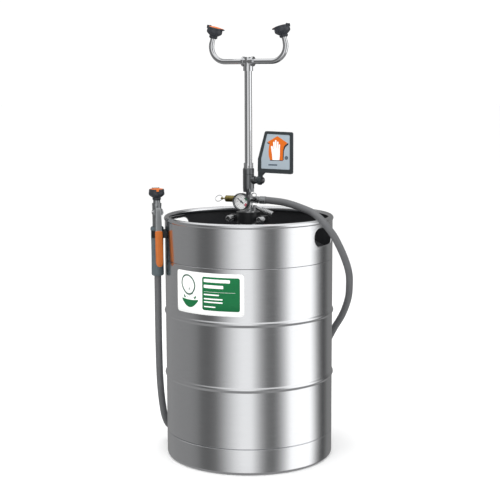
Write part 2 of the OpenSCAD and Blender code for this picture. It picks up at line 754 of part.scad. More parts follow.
tank_shell();
top_chime();
bottom_chime();
tank_neck();
tank_label();
closure_cap();
closure_gasket();
coupling_front();
coupling_rear();
coupling_bolts();
dip_tube();
dip_strainer();
air_valve();
air_valve_cap();
manifold();
gauge_case();
gauge_face();
gauge_needle();
gauge_lens();
relief_body();
relief_spring();
relief_stem();
relief_ring();
hose_barb();
hose_ferrule();
drench_hose();
valve_nipple();
valve_body();
valve_end_cap();
valve_seats();
valve_ball();
valve_stem();
valve_gland_nut();
flag_handle();
flag_panel();
flag_nut();
riser_nut();
riser_pipe();
yoke_tee();
left_arm();
right_arm();
left_head();
left_screen();
left_cover();
right_head();
right_screen();
right_cover();
cover_pins();
handset_head();
handset_screen();
handset_cover();
handset_cover_pin();
handset_body();
handset_plunger();
handset_spring();
handset_lever();
lever_pin();
handset_grip();
bracket();
bracket_screws();
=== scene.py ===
"""Looks of a portable eyewash and drench hose station on a stainless pressure tank.

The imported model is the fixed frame. Each sub-assembly is a class that dresses its parts of that
frame and builds the pieces that stand for them. All lengths in metres unless a name says mm.
"""

import json
import logging
import math
from dataclasses import dataclass, field
from enum import Enum
from typing import Callable, Iterable, Sequence

import bmesh
import bpy
from mathutils import Matrix, Vector

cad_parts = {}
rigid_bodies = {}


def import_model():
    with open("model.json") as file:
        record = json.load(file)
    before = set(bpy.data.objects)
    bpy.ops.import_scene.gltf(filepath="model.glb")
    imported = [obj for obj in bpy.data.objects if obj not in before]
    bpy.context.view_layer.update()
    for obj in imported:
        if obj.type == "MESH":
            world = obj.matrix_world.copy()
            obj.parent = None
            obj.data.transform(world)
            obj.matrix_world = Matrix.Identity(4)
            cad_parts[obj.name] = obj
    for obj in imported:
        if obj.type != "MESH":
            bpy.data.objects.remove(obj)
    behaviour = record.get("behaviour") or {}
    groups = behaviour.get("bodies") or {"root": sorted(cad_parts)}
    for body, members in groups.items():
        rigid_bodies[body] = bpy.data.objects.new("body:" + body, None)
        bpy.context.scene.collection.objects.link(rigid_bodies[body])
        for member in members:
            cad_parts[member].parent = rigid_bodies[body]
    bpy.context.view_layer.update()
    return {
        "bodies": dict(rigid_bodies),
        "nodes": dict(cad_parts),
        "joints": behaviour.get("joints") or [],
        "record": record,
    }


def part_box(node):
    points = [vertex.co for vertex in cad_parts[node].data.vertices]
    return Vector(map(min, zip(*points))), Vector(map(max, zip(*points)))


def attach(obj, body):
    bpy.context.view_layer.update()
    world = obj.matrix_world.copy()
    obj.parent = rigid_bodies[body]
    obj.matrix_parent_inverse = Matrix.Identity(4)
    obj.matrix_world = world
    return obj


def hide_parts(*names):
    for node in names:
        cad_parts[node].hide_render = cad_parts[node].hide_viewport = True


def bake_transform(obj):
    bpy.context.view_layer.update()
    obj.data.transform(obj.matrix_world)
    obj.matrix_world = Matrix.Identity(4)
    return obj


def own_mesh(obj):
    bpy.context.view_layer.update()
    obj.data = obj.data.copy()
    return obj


LOG = logging.getLogger("eyewash_station")
MM = 0.001
Point = Sequence[float]


# ---- Small helpers -------------------------------------------------------------------------


def linear(code: str) -> tuple[float, float, float, float]:
    """Turn an sRGB hex colour to linear light.

    Args:
        code: A colour such as "#3A3F45".

    Returns:
        Linear red, green, blue and an alpha of 1.
    """
    channels = [int(code[i : i + 2], 16) / 255 for i in (1, 3, 5)]
    light = [c / 12.92 if c <= 0.04045 else ((c + 0.055) / 1.055) ** 2.4 for c in channels]
    return (*light, 1.0)


def add_node(
    tree: bpy.types.NodeTree,
    kind: str,
    values: dict | None = None,
    links: dict | None = None,
    **settings: object,
) -> bpy.types.Node:
    """Add a node with its settings, socket values and links.

    Args:
        tree: The node tree that it goes in.
        kind: The node's type name, without its "ShaderNode" start.
        values: Input name or index to a value.
        links: Input name or index to an output socket.
        **settings: Properties of the node itself.

    Returns:
        The new node.
    """
    node = tree.nodes.new("ShaderNode" + kind)
    for name, value in settings.items():
        setattr(node, name, value)
    for name, value in (values or {}).items():
        node.inputs[name].default_value = value
    for name, socket in (links or {}).items():
        tree.links.new(socket, node.inputs[name])
    return node


def mix(a: Point, b: Point, share: float) -> Vector:
    """Point at a share of the way from a to b."""
    return Vector(a).lerp(Vector(b), share)


def mm(points: Iterable[Point]) -> list[Vector]:
    """Points given in millimetres, in metres."""
    return [Vector(p) * MM for p in points]


def placed(base: Matrix, at: Point, degrees: float, axis: str) -> Matrix:
    """Frame at a place in another frame, turned there about one of its axes.

    Args:
        base: The frame that it is given in.
        at: Place of the new frame in metres.
        degrees: Its turn.
        axis: The axis that it turns about, "X", "Y" or "Z".

    Returns:
        The new frame.
    """
    return base @ Matrix.Translation(at) @ Matrix.Rotation(math.radians(degrees), 4, axis)


def arc(centre: Point, radius: float, start: float, end: float, steps: int) -> list[tuple]:
    """Points on an arc in a plane.

    Args:
        centre: Middle of the arc, two numbers.
        radius: Its radius.
        start: First angle in degrees.
        end: Last angle in degrees.
        steps: Number of stretches between the points.

    Returns:
        The steps + 1 points.
    """
    turns = [math.radians(start + (end - start) * i / steps) for i in range(steps + 1)]
    return [(centre[0] + radius * math.cos(t), centre[1] + radius * math.sin(t)) for t in turns]


def rounded(points: Sequence[Point], radius: float, steps: int = 6) -> list[Vector]:
    """Outline with every corner rounded.

    Args:
        points: Corners of a flat outline, in order.
        radius: Radius of each corner.
        steps: Stretches on each corner's arc.

    Returns:
        The points of the rounded outline.
    """
    found = []
    for i, corner in enumerate(points):
        b = Vector(corner)
        u = (Vector(points[i - 1]) - b).normalized()
        v = (Vector(points[(i + 1) % len(points)]) - b).normalized()
        half = u.angle(v) / 2
        middle = b + (u + v).normalized() * radius / math.sin(half)
        first = b + u * radius / math.tan(half) - middle
        last = b + v * radius / math.tan(half) - middle
        turn = first.angle_signed(last)
        for k in range(steps + 1):
            share = Matrix.Rotation(-turn * k / steps, 2)
            found.append(middle + share @ first)
    return found


def smooth_route(points: Sequence[Point], steps: int) -> list[Vector]:
    """Smooth curve through points.

    Args:
        points: The places that the curve passes.
        steps: Stretches between two of them.

    Returns:
        Points along the curve.
    """
    p = [Vector(q) for q in points]
    p = [2 * p[0] - p[1], *p, 2 * p[-1] - p[-2]]
    curve = []
    for a, b, c, d in zip(p, p[1:], p[2:], p[3:]):
        for k in range(steps):
            t = k / steps
            bent = (2 * a - 5 * b + 4 * c - d) * t * t + (3 * b - a - 3 * c + d) * t**3
            curve.append(0.5 * (2 * b + (c - a) * t + bent))
    return [*curve, p[-2]]


# ---- Finishes ------------------------------------------------------------------------------


@dataclass(frozen=True)
class Finish:
    """A real finish, made once as a node material under its own name."""

    name: str
    tint: str
    roughness: float

    def material(self) -> bpy.types.Material:
        """Make the material, or give the one already made."""
        made = bpy.data.materials.get(self.name)
        if made is None:
            made = bpy.data.materials.new(self.name)
            made.use_nodes = True
            tree = made.node_tree
            self.fill(tree, tree.nodes["Principled BSDF"])
        return made

    def fill(self, tree: bpy.types.NodeTree, shader: bpy.types.Node) -> None:
        """Set the shader and add the finish's own nodes."""
        raise NotImplementedError

    @staticmethod
    def place(tree: bpy.types.NodeTree, stretch: Point = (1, 1, 1)) -> bpy.types.NodeSocket:
        """Object position, stretched, as the coordinate of a pattern."""
        at = add_node(tree, "TexCoord").outputs["Object"]
        return add_node(tree, "Mapping", {"Scale": stretch}, {"Vector": at}).outputs["Vector"]

    def vary(
        self,
        tree: bpy.types.NodeTree,
        shader: bpy.types.Node,
        pattern: bpy.types.NodeSocket,
        shade: float,
        rough: float,
    ) -> None:
        """Let the colour and the roughness follow a pattern.

        Args:
            tree: The material's node tree.
            shader: Its shader.
            pattern: A value from 0 to 1.
            shade: Share by which the colour darkens at 0 and lightens at 1.
            rough: Roughness taken off at 0 and added at 1.
        """
        colour = linear(self.tint)
        ramp = add_node(tree, "ValToRGB", links={"Fac": pattern})
        for stop, side in zip(ramp.color_ramp.elements, (-1, 1)):
            stop.color = (*(min(1.0, c * (1 + side * shade)) for c in colour[:3]), 1)
        tree.links.new(ramp.outputs["Color"], shader.inputs["Base Color"])
        limits = {"To Min": self.roughness - rough, "To Max": self.roughness + rough}
        spread = add_node(tree, "MapRange", limits, {"Value": pattern})
        tree.links.new(spread.outputs["Result"], shader.inputs["Roughness"])

    @staticmethod
    def bump(
        tree: bpy.types.NodeTree,
        shader: bpy.types.Node,
        height: bpy.types.NodeSocket,
        depth: float,
        under: bpy.types.Node | None = None,
    ) -> bpy.types.Node:
        """Raise the surface by a pattern.

        Args:
            tree: The material's node tree.
            shader: Its shader.
            height: The pattern.
            depth: Height of the pattern in metres.
            under: A bump that this one lies on.

        Returns:
            The bump node.
        """
        links = {"Height": height}
        if under is not None:
            links["Normal"] = under.outputs["Normal"]
        made = add_node(tree, "Bump", {"Distance": depth, "Strength": 1.0}, links)
        tree.links.new(made.outputs["Normal"], shader.inputs["Normal"])
        return made


@dataclass(frozen=True)
class WorkedMetal(Finish):
    """Bare or plated metal with the marks of how it was brushed, drawn, turned or cast."""

    grain_mm: float = 1.0  # spacing of the marks
    grain_depth: float = 0.004 * MM
    stretch: tuple = (1.0, 1.0, 1.0)  # how much the marks are drawn out, per axis
    wave_mm: float = 60.0  # length of the slow waves in the sheet
    wave_depth: float = 0.0
    shade: float = 0.06

    def fill(self, tree: bpy.types.NodeTree, shader: bpy.types.Node) -> None:
        """Metal with a fine grain and, on sheet, slow waves under it."""
        shader.inputs["Metallic"].default_value = 1.0
        scale = 1 / (self.grain_mm * MM)
        at = self.place(tree, self.stretch)
        grain = add_node(tree, "TexNoise", {"Scale": scale, "Detail": 3.0}, {"Vector": at})
        self.vary(tree, shader, grain.outputs["Fac"], self.shade, 0.04)
        slow = None
        if self.wave_depth:
            size = {"Scale": 1 / (self.wave_mm * MM), "Detail": 1.0}
            wave = add_node(tree, "TexNoise", size, {"Vector": self.place(tree)})
            slow = self.bump(tree, shader, wave.outputs["Fac"], self.wave_depth)
        self.bump(tree, shader, grain.outputs["Fac"], self.grain_depth, slow)


@dataclass(frozen=True)
class Moulded(Finish):
    """Moulded plastic: a spark-eroded grain and faint flow marks."""

    grain_mm: float = 0.8
    grain_depth: float = 0.02 * MM
    shade: float = 0.10
    coat: float = 0.0

    def fill(self, tree: bpy.types.NodeTree, shader: bpy.types.Node) -> None:
        """Plastic of IOR 1.5 with a fine grain and cloudy flow marks."""
        shader.inputs["IOR"].default_value = 1.5
        shader.inputs["Coat Weight"].default_value = self.coat
        flow = add_node(tree, "TexNoise", {"Scale": 1 / (18 * MM)}, {"Vector": self.place(tree)})
        self.vary(tree, shader, flow.outputs["Fac"], self.shade, 0.05)
        size = {"Scale": 1 / (self.grain_mm * MM)}
        grain = add_node(tree, "TexVoronoi", size, {"Vector": self.place(tree)})
        self.bump(tree, shader, grain.outputs["Distance"], self.grain_depth)


@dataclass(frozen=True)
class HoseSkin(Finish):
    """Smooth hose skin over a braid whose yarns show faintly through it."""

    yarn_mm: float = 3.0

    def fill(self, tree: bpy.types.NodeTree, shader: bpy.types.Node) -> None:
        """Two crossing sets of raised lines, along UVs that are in metres."""
        shader.inputs["IOR"].default_value = 1.5
        at = add_node(tree, "TexCoord").outputs["UV"]
        heights = []
        for turn in (-50, 50):
            lean = {"Rotation": (0, 0, math.radians(turn))}
            leaned = add_node(tree, "Mapping", lean, {"Vector": at}).outputs["Vector"]
            lines = {"Scale": 0.314 / (self.yarn_mm * MM)}
            wave = add_node(tree, "TexWave", lines, {"Vector": leaned})
            heights.append(wave.outputs["Fac"])
        both = add_node(tree, "Math", links={0: heights[0], 1: heights[1]}, operation="MAXIMUM")
        dust = add_node(tree, "TexNoise", {"Scale": 1 / (25 * MM)}, {"Vector": self.place(tree)})
        self.vary(tree, shader, dust.outputs["Fac"], 0.12, 0.06)
        self.bump(tree, shader, both.outputs["Value"], 0.08 * MM)


@dataclass(frozen=True)
class Ink(Finish):
    """Screen ink or printed film: flat colour with a fine screen mottle."""

    coat: float = 0.0

    def fill(self, tree: bpy.types.NodeTree, shader: bpy.types.Node) -> None:
        """Thin film under a light gloss."""
        shader.inputs["Coat Weight"].default_value = self.coat
        shader.inputs["Coat Roughness"].default_value = 0.15
        shader.inputs["Specular IOR Level"].default_value = 0.25
        screen = add_node(tree, "TexNoise", {"Scale": 1 / (2 * MM)}, {"Vector": self.place(tree)})
        self.vary(tree, shader, screen.outputs["Fac"], 0.03, 0.04)
        self.bump(tree, shader, screen.outputs["Fac"], 0.004 * MM)


@dataclass(frozen=True)
class ClearLens(Finish):
    """Clear acrylic lens: seen through, with its gloss left on."""

    alpha: float = 0.14

    def fill(self, tree: bpy.types.NodeTree, shader: bpy.types.Node) -> None:
        """Mostly see-through, with a trace of wiping marks."""
        shader.inputs["IOR"].default_value = 1.49
        shader.inputs["Alpha"].default_value = self.alpha
        marks = add_node(tree, "TexNoise", {"Scale": 1 / (6 * MM)}, {"Vector": self.place(tree)})
        self.vary(tree, shader, marks.outputs["Fac"], 0.0, 0.02)


# Stainless sheet, rolled and polished round the tank: clear bands of light with soft edges.
TANK_SHEET = WorkedMetal(
    "stainless_sheet_polished", "#D3D4D6", 0.17, 1.6, 0.004 * MM, (0.06, 0.06, 1.0), 90.0, 0.10 * MM
)
# Stainless tube, drawn and polished: sharper light along its length.
TUBE_STEEL = WorkedMetal("stainless_tube_polished", "#CFD0D2", 0.14, 1.0, 0.003 * MM)
# Turned stainless fittings: a little duller than the tube.
FITTING_STEEL = WorkedMetal("stainless_turned", "#BFC0C1", 0.26, 0.9, 0.006 * MM, (1, 1, 4))
# Zinc die casting, satin: an even, silky grey.
CAST_ZINC = WorkedMetal("zinc_die_cast", "#A3A6A8", 0.38, 1.4, 0.02 * MM)
# Dark nickel plate on brass: gunmetal grey with soft glints.
DARK_PLATE = WorkedMetal("dark_nickel_plate", "#77797B", 0.33, 1.2, 0.012 * MM)
# Turned brass, gone dull: olive yellow.
BRASS = WorkedMetal("turned_brass_dull", "#8F8352", 0.34, 0.8, 0.01 * MM, (1, 1, 3), shade=0.12)
# Spring wire.
SPRING = WorkedMetal("spring_wire", "#B5B6B8", 0.25, 0.6)
# Black stoved enamel on iron: deep black with a broad sheen.
BLACK_ENAMEL = Moulded("black_stoved_enamel", "#1B1C1E", 0.36, 1.8, 0.03 * MM, coat=0.2)
# Dark grey on the inside of the rim wall and the top dish: painted shade for the dark well inside the rim.
RIM_WELL_PAINTED_SHADE = Moulded("painted_shade_rim_well", "#222326", 0.55, 2.2, 0.04 * MM)
# Moulded ABS of the spray heads.
SLATE_ABS = Moulded("abs_slate_moulded", "#2A2D33", 0.42, 0.9)
# Moulded polypropylene of the flip covers.
ORANGE_PP = Moulded("polypropylene_orange_moulded", "#DE7124", 0.34, 0.9, 0.015 * MM, 0.08)
# Vinyl dip on the squeeze lever: thick, soft and a little glossy.
ORANGE_DIP = Moulded("vinyl_dip_orange", "#BA6118", 0.33, 2.5, 0.02 * MM, 0.12, 0.15)
# Blue grey grip, moulded.
GRIP_PP = Moulded("polypropylene_blue_grey", "#535E63", 0.40, 1.0)
# Black bracket, moulded.
BLACK_NYLON = Moulded("nylon_black_moulded", "#17181A", 0.45, 1.0)
# Flag frame, moulded.
FLAG_ABS = Moulded("abs_dark_grey_moulded", "#2F3538", 0.38, 1.0)
# Screen in a spray head.
SCREEN_PP = Moulded("polypropylene_grey_moulded", "#8A8E93", 0.40, 0.7)
# White fluoropolymer seats.
SEAT_PTFE = Moulded("ptfe_white", "#ECECE8", 0.45, 1.0, 0.01 * MM, 0.03)
# Black gasket.
GASKET_RUBBER = Moulded("rubber_black", "#1A1A1A", 0.6, 1.2)
# Grey hose.
HOSE_SKIN = HoseSkin("hose_skin_grey", "#606163", 0.42)
# White label film.
FILM_WHITE = Ink("label_film_white", "#F7F8F7", 0.45)
INK_GREEN = Ink("ink_safety_green", "#0A6A3B", 0.55)
INK_GREEN_LINE = Ink("ink_green_grey_line", "#3F6152", 0.5)
INK_WHITE = Ink("ink_white", "#FBFBFA", 0.5)
INK_ORANGE = Ink("ink_orange", "#D86812", 0.45)
INK_DARK = Ink("ink_charcoal", "#2B2F33", 0.35)
INK_GREY = Ink("ink_grey_blue", "#55616D", 0.35)
INK_RED = Ink("ink_red", "#D0214A", 0.35)
PANEL_FILM = Ink("panel_film_grey_blue", "#A3AFB8", 0.40)
DIAL_WHITE = Ink("dial_enamel_white", "#FFFFFD", 0.35)
LENS = ClearLens("acrylic_clear", "#F4F8FA", 0.05, 0.05)
FLOOR_PAINT = Ink("studio_floor_pale", "#FFFFFF", 0.7)


# ---- Building pieces -----------------------------------------------------------------------


class Shape:
    """Points and faces of one piece, gathered from simple parts in a local frame."""

    def __init__(self, place: Matrix | None = None) -> None:
        """Start an empty shape whose parts are put through place."""
        self.place = place or Matrix.Identity(4)
        self.points: list[Vector] = []
        self.faces: list[tuple] = []
        self.paint: list[int] = []
        self.uv: dict[int, list[tuple]] = {}

    def add(self, points: Iterable[Point], faces: Iterable[Sequence[int]], paint: int = 0) -> int:
        """Add points and faces.

        Args:
            points: Places in the shape's local frame.
            faces: Indices into points.
            paint: Which of the piece's finishes the faces take.

        Returns:
            Index of the first point added.
        """
        start = len(self.points)
        self.points += [self.place @ Vector(p) for p in points]
        for face in faces:
            self.faces.append(tuple(i + start for i in face))
            self.paint.append(paint)
        return start

    def grid(self, rows: Sequence[Sequence[Point]], wrap: bool, paint: int = 0) -> None:
        """Skin rows of points; wrap joins each row's end to its start."""
        wide = len(rows[0])
        faces = []
        for r in range(len(rows) - 1):
            for k in range(wide if wrap else wide - 1):
                a, b = r * wide + k, r * wide + (k + 1) % wide
                faces.append((a, b, b + wide, a + wide))
        self.add([p for row in rows for p in row], faces, paint)

    def turned(self, profile: Sequence[Point], steps: int = 72, paint: int = 0) -> None:
        """Turn a closed (radius, height) outline about the local Z axis.

        Args:
            profile: The outline, counterclockwise as seen with the radius to the right.
            steps: Faces round the axis.
            paint: Which of the piece's finishes the faces take.
        """
        turns = [2 * math.pi * k / steps for k in range(steps)]
        ring = [*profile, profile[0]]
        rows = [[(r * math.cos(t), r * math.sin(t), z) for t in turns] for r, z in ring[:-1]]
        wide, tall = steps, len(rows)
        faces = []
        for i in range(tall):
            j = (i + 1) % tall
            flat_a, flat_b = profile[i][0] < 1e-7, profile[j][0] < 1e-7
            for k in range(wide):
                m = (k + 1) % wide
                quad = (i * wide + k, i * wide + m, j * wide + m, j * wide + k)
                if flat_a and flat_b:
                    continue
                if flat_a:
                    quad = (i * wide, quad[2], quad[3])
                elif flat_b:
                    quad = (quad[0], quad[1], j * wide)
                faces.append(quad)
        self.add([p for row in rows for p in row], faces, paint)

    def prism(self, outline: Sequence[Point], low: float, high: float, paint: int = 0) -> None:
        """Stretch a flat outline from low to high along the local Z axis."""
        n = len(outline)
        points = [(p[0], p[1], z) for z in (low, high) for p in outline]
        sides = [(k, (k + 1) % n, (k + 1) % n + n, k + n) for k in range(n)]
        caps = [tuple(range(n - 1, -1, -1)), tuple(range(n, 2 * n))]
        self.add(points, sides + caps, paint)

    def swept(
        self,
        path: Sequence[Point],
        radius: float,
        sides: int = 16,
        closed: bool = False,
        paint: int = 0,
    ) -> None:
        """Tube round a path.

        Args:
            path: Points that the tube's middle follows.
            radius: Radius of the tube.
            sides: Faces round it.
            closed: Whether its end joins its start.
            paint: Which of the piece's finishes the faces take.
        """
        p = [Vector(q) for q in path]
        n = len(p)
        rows, far = [], []
        side = None
        for i, at in enumerate(p):
            before = p[i - 1] if closed or i else at
            after = p[(i + 1) % n] if closed or i < n - 1 else at
            along = (after - before).normalized()
            if side is None:
                side = along.orthogonal()
            side = (side - side.dot(along) * along).normalized()
            up = along.cross(side)
            turns = [2 * math.pi * k / sides for k in range(sides)]
            rows.append([at + radius * (math.cos(t) * side + math.sin(t) * up) for t in turns])
            far.append((far[-1] + (at - p[i - 1]).length) if i else 0.0)
        if closed:
            rows.append(rows[0])
        start = len(self.faces)
        self.grid(rows, True, paint)
        for f in range(start, len(self.faces)):
            r, k = divmod(f - start, sides)
            v0, v1 = far[r], far[min(r + 1, n - 1)]
            u0, u1 = (2 * math.pi * radius * x / sides for x in (k, k + 1))
            self.uv[f] = [(u0, v0), (u1, v0), (u1, v1), (u0, v1)]
        if not closed:
            self.add(rows[0], [tuple(range(sides - 1, -1, -1))], paint)
            self.add(rows[-1], [tuple(range(sides))], paint)

    def loft(self, sections: Sequence[tuple], power: float, sides: int = 32, paint: int = 0) -> None:
        """Skin boxes with round edges, stacked along Z.

        Args:
            sections: Each (centre, half width along X, half depth along Y).
            power: 2 for an ellipse; more for a squarer section.
            sides: Points round a section.
            paint: Which of the piece's finishes the faces take.
        """
        rows = []
        for centre, wide, deep in sections:
            row = []
            for k in range(sides):
                c, s = (f(2 * math.pi * k / sides) for f in (math.cos, math.sin))
                x = math.copysign(abs(c) ** (2 / power), c) * wide
                y = math.copysign(abs(s) ** (2 / power), s) * deep
                row.append(Vector(centre) + Vector((x, y, 0)))
            rows.append(row)
        self.grid(rows, True, paint)
        self.add(rows[0], [tuple(range(sides - 1, -1, -1))], paint)
        self.add(rows[-1], [tuple(range(sides))], paint)

    def block(self, low: Point, high: Point, paint: int = 0) -> None:
        """Box between two corners; the piece's edge rounding finishes it."""
        outline = [(low[0], low[1]), (high[0], low[1]), (high[0], high[1]), (low[0], high[1])]
        self.prism(outline, low[2], high[2], paint)


@dataclass
class Workshop:
    """Makes pieces from shapes, dresses CAD nodes, and keeps the places taken from the frame."""

    frame: dict
    made: int = 0
    fittings: Matrix = field(init=False)
    handset: Matrix = field(init=False)

    def __post_init__(self) -> None:
        """Take the two turned frames from the joints."""
        push = Vector(self.joint("flag_push")["axis"])
        self.fittings = Matrix.Rotation(math.atan2(-push.y, -push.x), 4, "Z")
        squeeze = Vector(self.joint("lever_squeeze")["axis"])
        low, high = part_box("handset_grip")
        middle = (low + high) / 2
        turn = Matrix.Rotation(math.atan2(squeeze.y, squeeze.x), 4, "Z")
        self.handset = Matrix.Translation((middle.x, middle.y, 0)) @ turn

    def joint(self, name: str) -> dict:
        """The record's joint of that name."""
        return next(j for j in self.frame["joints"] if j["name"] == name)

    def pivot(self, name: str) -> Vector:
        """Where a hinge turns."""
        return Vector(self.joint(name)["pos_m"])

    def dress(self, finish: Finish, *nodes: str) -> None:
        """Give CAD nodes a finish."""
        for name in nodes:
            node = self.frame["nodes"][name]
            node.data.materials.clear()
            node.data.materials.append(finish.material())
            LOG.info("%s: frame part in %s", name, finish.name)

    def piece(
        self,
        name: str,
        shape: Shape,
        body: str,
        finishes: Finish | Sequence[Finish],
        slot: str,
        replaces: Sequence[str] = (),
        edge: float = 0.0,
        crease: float = 38.0,
        thickness: float = 0.0,
    ) -> bpy.types.Object:
        """Turn a shape to a piece that rides on a body.

        Args:
            name: The piece's name.
            shape: Its points and faces.
            body: The CAD body that it rides on; empty for a piece that rides on none.
            finishes: One finish, or one for each paint number.
            slot: The record's material slot.
            replaces: CAD nodes that it stands for.
            edge: Radius of the rounding on its sharp edges.
            crease: Angle above which an edge stays sharp, in degrees.
            thickness: Thickness given to a thin sheet, outward.

        Returns:
            The new object.
        """
        mesh = bpy.data.meshes.new(name)
        mesh.from_pydata([tuple(p) for p in shape.points], [], shape.faces)
        if shape.uv:
            layer = mesh.uv_layers.new(name="along_the_piece")
            for f, corners in shape.uv.items():
                for loop, uv in zip(mesh.polygons[f].loop_indices, corners):
                    layer.data[loop].uv = uv
        for polygon, paint in zip(mesh.polygons, shape.paint):
            polygon.material_index = paint
        for finish in [finishes] if isinstance(finishes, Finish) else finishes:
            mesh.materials.append(finish.material())
        self.tidy(mesh)
        mesh.shade_smooth()
        mesh.set_sharp_from_angle(angle=math.radians(crease))
        made = bpy.data.objects.new(name, mesh)
        bpy.context.scene.collection.objects.link(made)
        if thickness:
            sheet = made.modifiers.new("thickness", "SOLIDIFY")
            sheet.thickness, sheet.offset = thickness, 1.0
        if edge:
            rounding = made.modifiers.new("edge", "BEVEL")
            rounding.width, rounding.segments = edge, 2
            rounding.limit_method, rounding.angle_limit = "ANGLE", math.radians(crease)
            rounding.use_clamp_overlap = True
        if body:
            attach(made, body)
        if replaces:
            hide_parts(*replaces)
        self.made += 1
        LOG.info("%s: piece in %s", name, slot)
        return made

    @staticmethod
    def tidy(mesh: bpy.types.Mesh) -> None:
        """Join points that meet and turn all faces outward."""
        work = bmesh.new()
        work.from_mesh(mesh)
        bmesh.ops.remove_doubles(work, verts=work.verts, dist=0.002 * MM)
        bmesh.ops.recalc_face_normals(work, faces=work.faces)
        loose = [v for v in work.verts if not v.link_faces]
        bmesh.ops.delete(work, geom=loose, context="VERTS")
        work.to_mesh(mesh)
        work.free()


# ---- Studio --------------------------------------------------------------------------------


@dataclass
class Studio:
    """Camera, pale floor, soft light, and the strip lights that the steel mirrors."""

    camera_at: tuple = (0.0044, -2.8924, 0.9250)
    camera_down: float = 8.237  # degrees below the horizon
    camera_roll: float = 0.2  # degrees clockwise
    lens_mm: float = 85.7
    floor_r: float = 40.0
    # Light round the tank: degrees from the camera toward the right, and brightness.
    strips: tuple = (
        (-180, 0.22),
        (-140, 0.33),
        (-90, 0.31),
        (-78, 0.27),
        (-68, 0.17),
        (-58, 0.15),
        (-48, 0.20),
        (-40, 0.37),
        (-30, 0.68),
        (-20, 1.00),
        (-10, 1.20),
        (3, 1.22),
        (8, 0.90),
        (16, 0.50),
        (24, 0.23),
        (33, 0.18),
        (40, 0.33),
        (50, 0.82),
        (60, 1.55),
        (92, 1.65),
        (99, 1.20),
        (106, 0.60),
        (115, 0.20),
        (124, 0.09),
        (140, 0.26),
        (180, 0.22),
    )
    brightest: float = 1.65
    overhead: float = 1.15
    below: float = 0.35

    def camera(self) -> None:
        """Make the camera."""
        data = bpy.data.cameras.new("camera")
        data.lens, data.sensor_width = self.lens_mm, 36.0
        made = bpy.data.objects.new("camera", data)
        made.location = self.camera_at
        made.rotation_euler = (math.radians(90 - self.camera_down), math.radians(self.camera_roll), 0)
        bpy.context.scene.collection.objects.link(made)
        bpy.context.scene.camera = made
        bpy.context.scene.view_settings.view_transform = "Standard"

    def floor(self) -> None:
        """Make the floor; polished steel doesn't mirror it."""
        shape = Shape()
        rings = [0.0, 0.5, 1.5, 5.0, self.floor_r]
        turns = [2 * math.pi * k / 64 for k in range(64)]
        rows = [[(r * math.cos(t), r * math.sin(t), 0) for t in turns] for r in rings[1:]]
        shape.grid(rows, True)
        shape.add(rows[0], [tuple(range(64))])
        mesh = bpy.data.meshes.new("studio_floor")
        mesh.from_pydata([tuple(p) for p in shape.points], [], shape.faces)
        mesh.materials.append(FLOOR_PAINT.material())
        Workshop.tidy(mesh)
        made = bpy.data.objects.new("studio_floor", mesh)
        made.visible_glossy = False
        bpy.context.scene.collection.objects.link(made)

    def surroundings(self) -> None:
        """Make the world: strips of light round the object, brighter above, dark below."""
        world = bpy.data.worlds.new("studio")
        bpy.context.scene.world = world
        world.use_nodes = True
        tree = world.node_tree
        tree.nodes.clear()
        way = add_node(tree, "TexCoord").outputs["Generated"]
        parts = add_node(tree, "SeparateXYZ", links={0: way}).outputs
        ahead = add_node(tree, "Math", {1: -1.0}, {0: parts["Y"]}, operation="MULTIPLY")
        turn = add_node(
            tree, "Math", links={0: parts["X"], 1: ahead.outputs[0]}, operation="ARCTAN2"
        )
        span = {"From Min": -math.pi, "From Max": math.pi}
        share = add_node(tree, "MapRange", span, {"Value": turn.outputs[0]})
        ramp = add_node(tree, "ValToRGB", links={"Fac": share.outputs["Result"]})
        stops = ramp.color_ramp.elements
        while len(stops) < len(self.strips):
            stops.new(1.0)
        for stop, (degrees, level) in zip(stops, self.strips):
            stop.position = (degrees + 180) / 360
            stop.color = (*([level / self.brightest] * 3), 1)
        round_about = add_node(
            tree, "Math", {1: self.brightest}, {0: ramp.outputs["Color"]}, operation="MULTIPLY"
        )
        height = parts["Z"]
        up = add_node(
            tree,
            "MapRange",
            {"From Min": 0.45, "From Max": 0.75},
            {"Value": height},
            interpolation_type="SMOOTHSTEP",
        )
        down = add_node(
            tree,
            "MapRange",
            {"From Min": -0.42, "From Max": -0.62},
            {"Value": height},
            interpolation_type="SMOOTHSTEP",
        )
        level = round_about.outputs[0]
        for part, value in ((up, self.overhead), (down, self.below)):
            mixed = add_node(
                tree,
                "Mix",
                {"B": value},
                {"Factor": part.outputs["Result"], "A": level},
                data_type="FLOAT",
            )
            level = mixed.outputs["Result"]
        lit = add_node(tree, "Background", {"Color": (1, 1, 1, 1)}, {"Strength": level})
        plain = add_node(tree, "Background", {"Color": (1, 1, 1, 1), "Strength": 1.06})
        mirrored = add_node(tree, "LightPath").outputs["Is Glossy Ray"]
        both = add_node(
            tree, "MixShader", links={0: mirrored, 1: plain.outputs[0], 2: lit.outputs[0]}
        )
        add_node(tree, "OutputWorld", links={"Surface": both.outputs[0]})

    def lamp(self, name: str, at: Point, size: float, watts: float) -> None:
        """Make a square soft light that points at the middle of the object."""
        data = bpy.data.lights.new(name, "AREA")
        data.size, data.energy = size, watts
        made = bpy.data.objects.new(name, data)
        made.location = at
        aim = Vector((0, 0, 0.5)) - Vector(at)
        made.rotation_euler = aim.to_track_quat("-Z", "Y").to_euler()
        made.visible_glossy = False
        bpy.context.scene.collection.objects.link(made)

    def build(self) -> None:
        """Make all of it."""
        self.camera()
        self.floor()
        self.surroundings()
        self.lamp("overhead_light", (-0.3, -0.4, 3.2), 2.2, 40.0)
        self.lamp("front_light", (-1.6, -2.6, 2.0), 1.4, 10.0)


# ---- Hose ----------------------------------------------------------------------------------


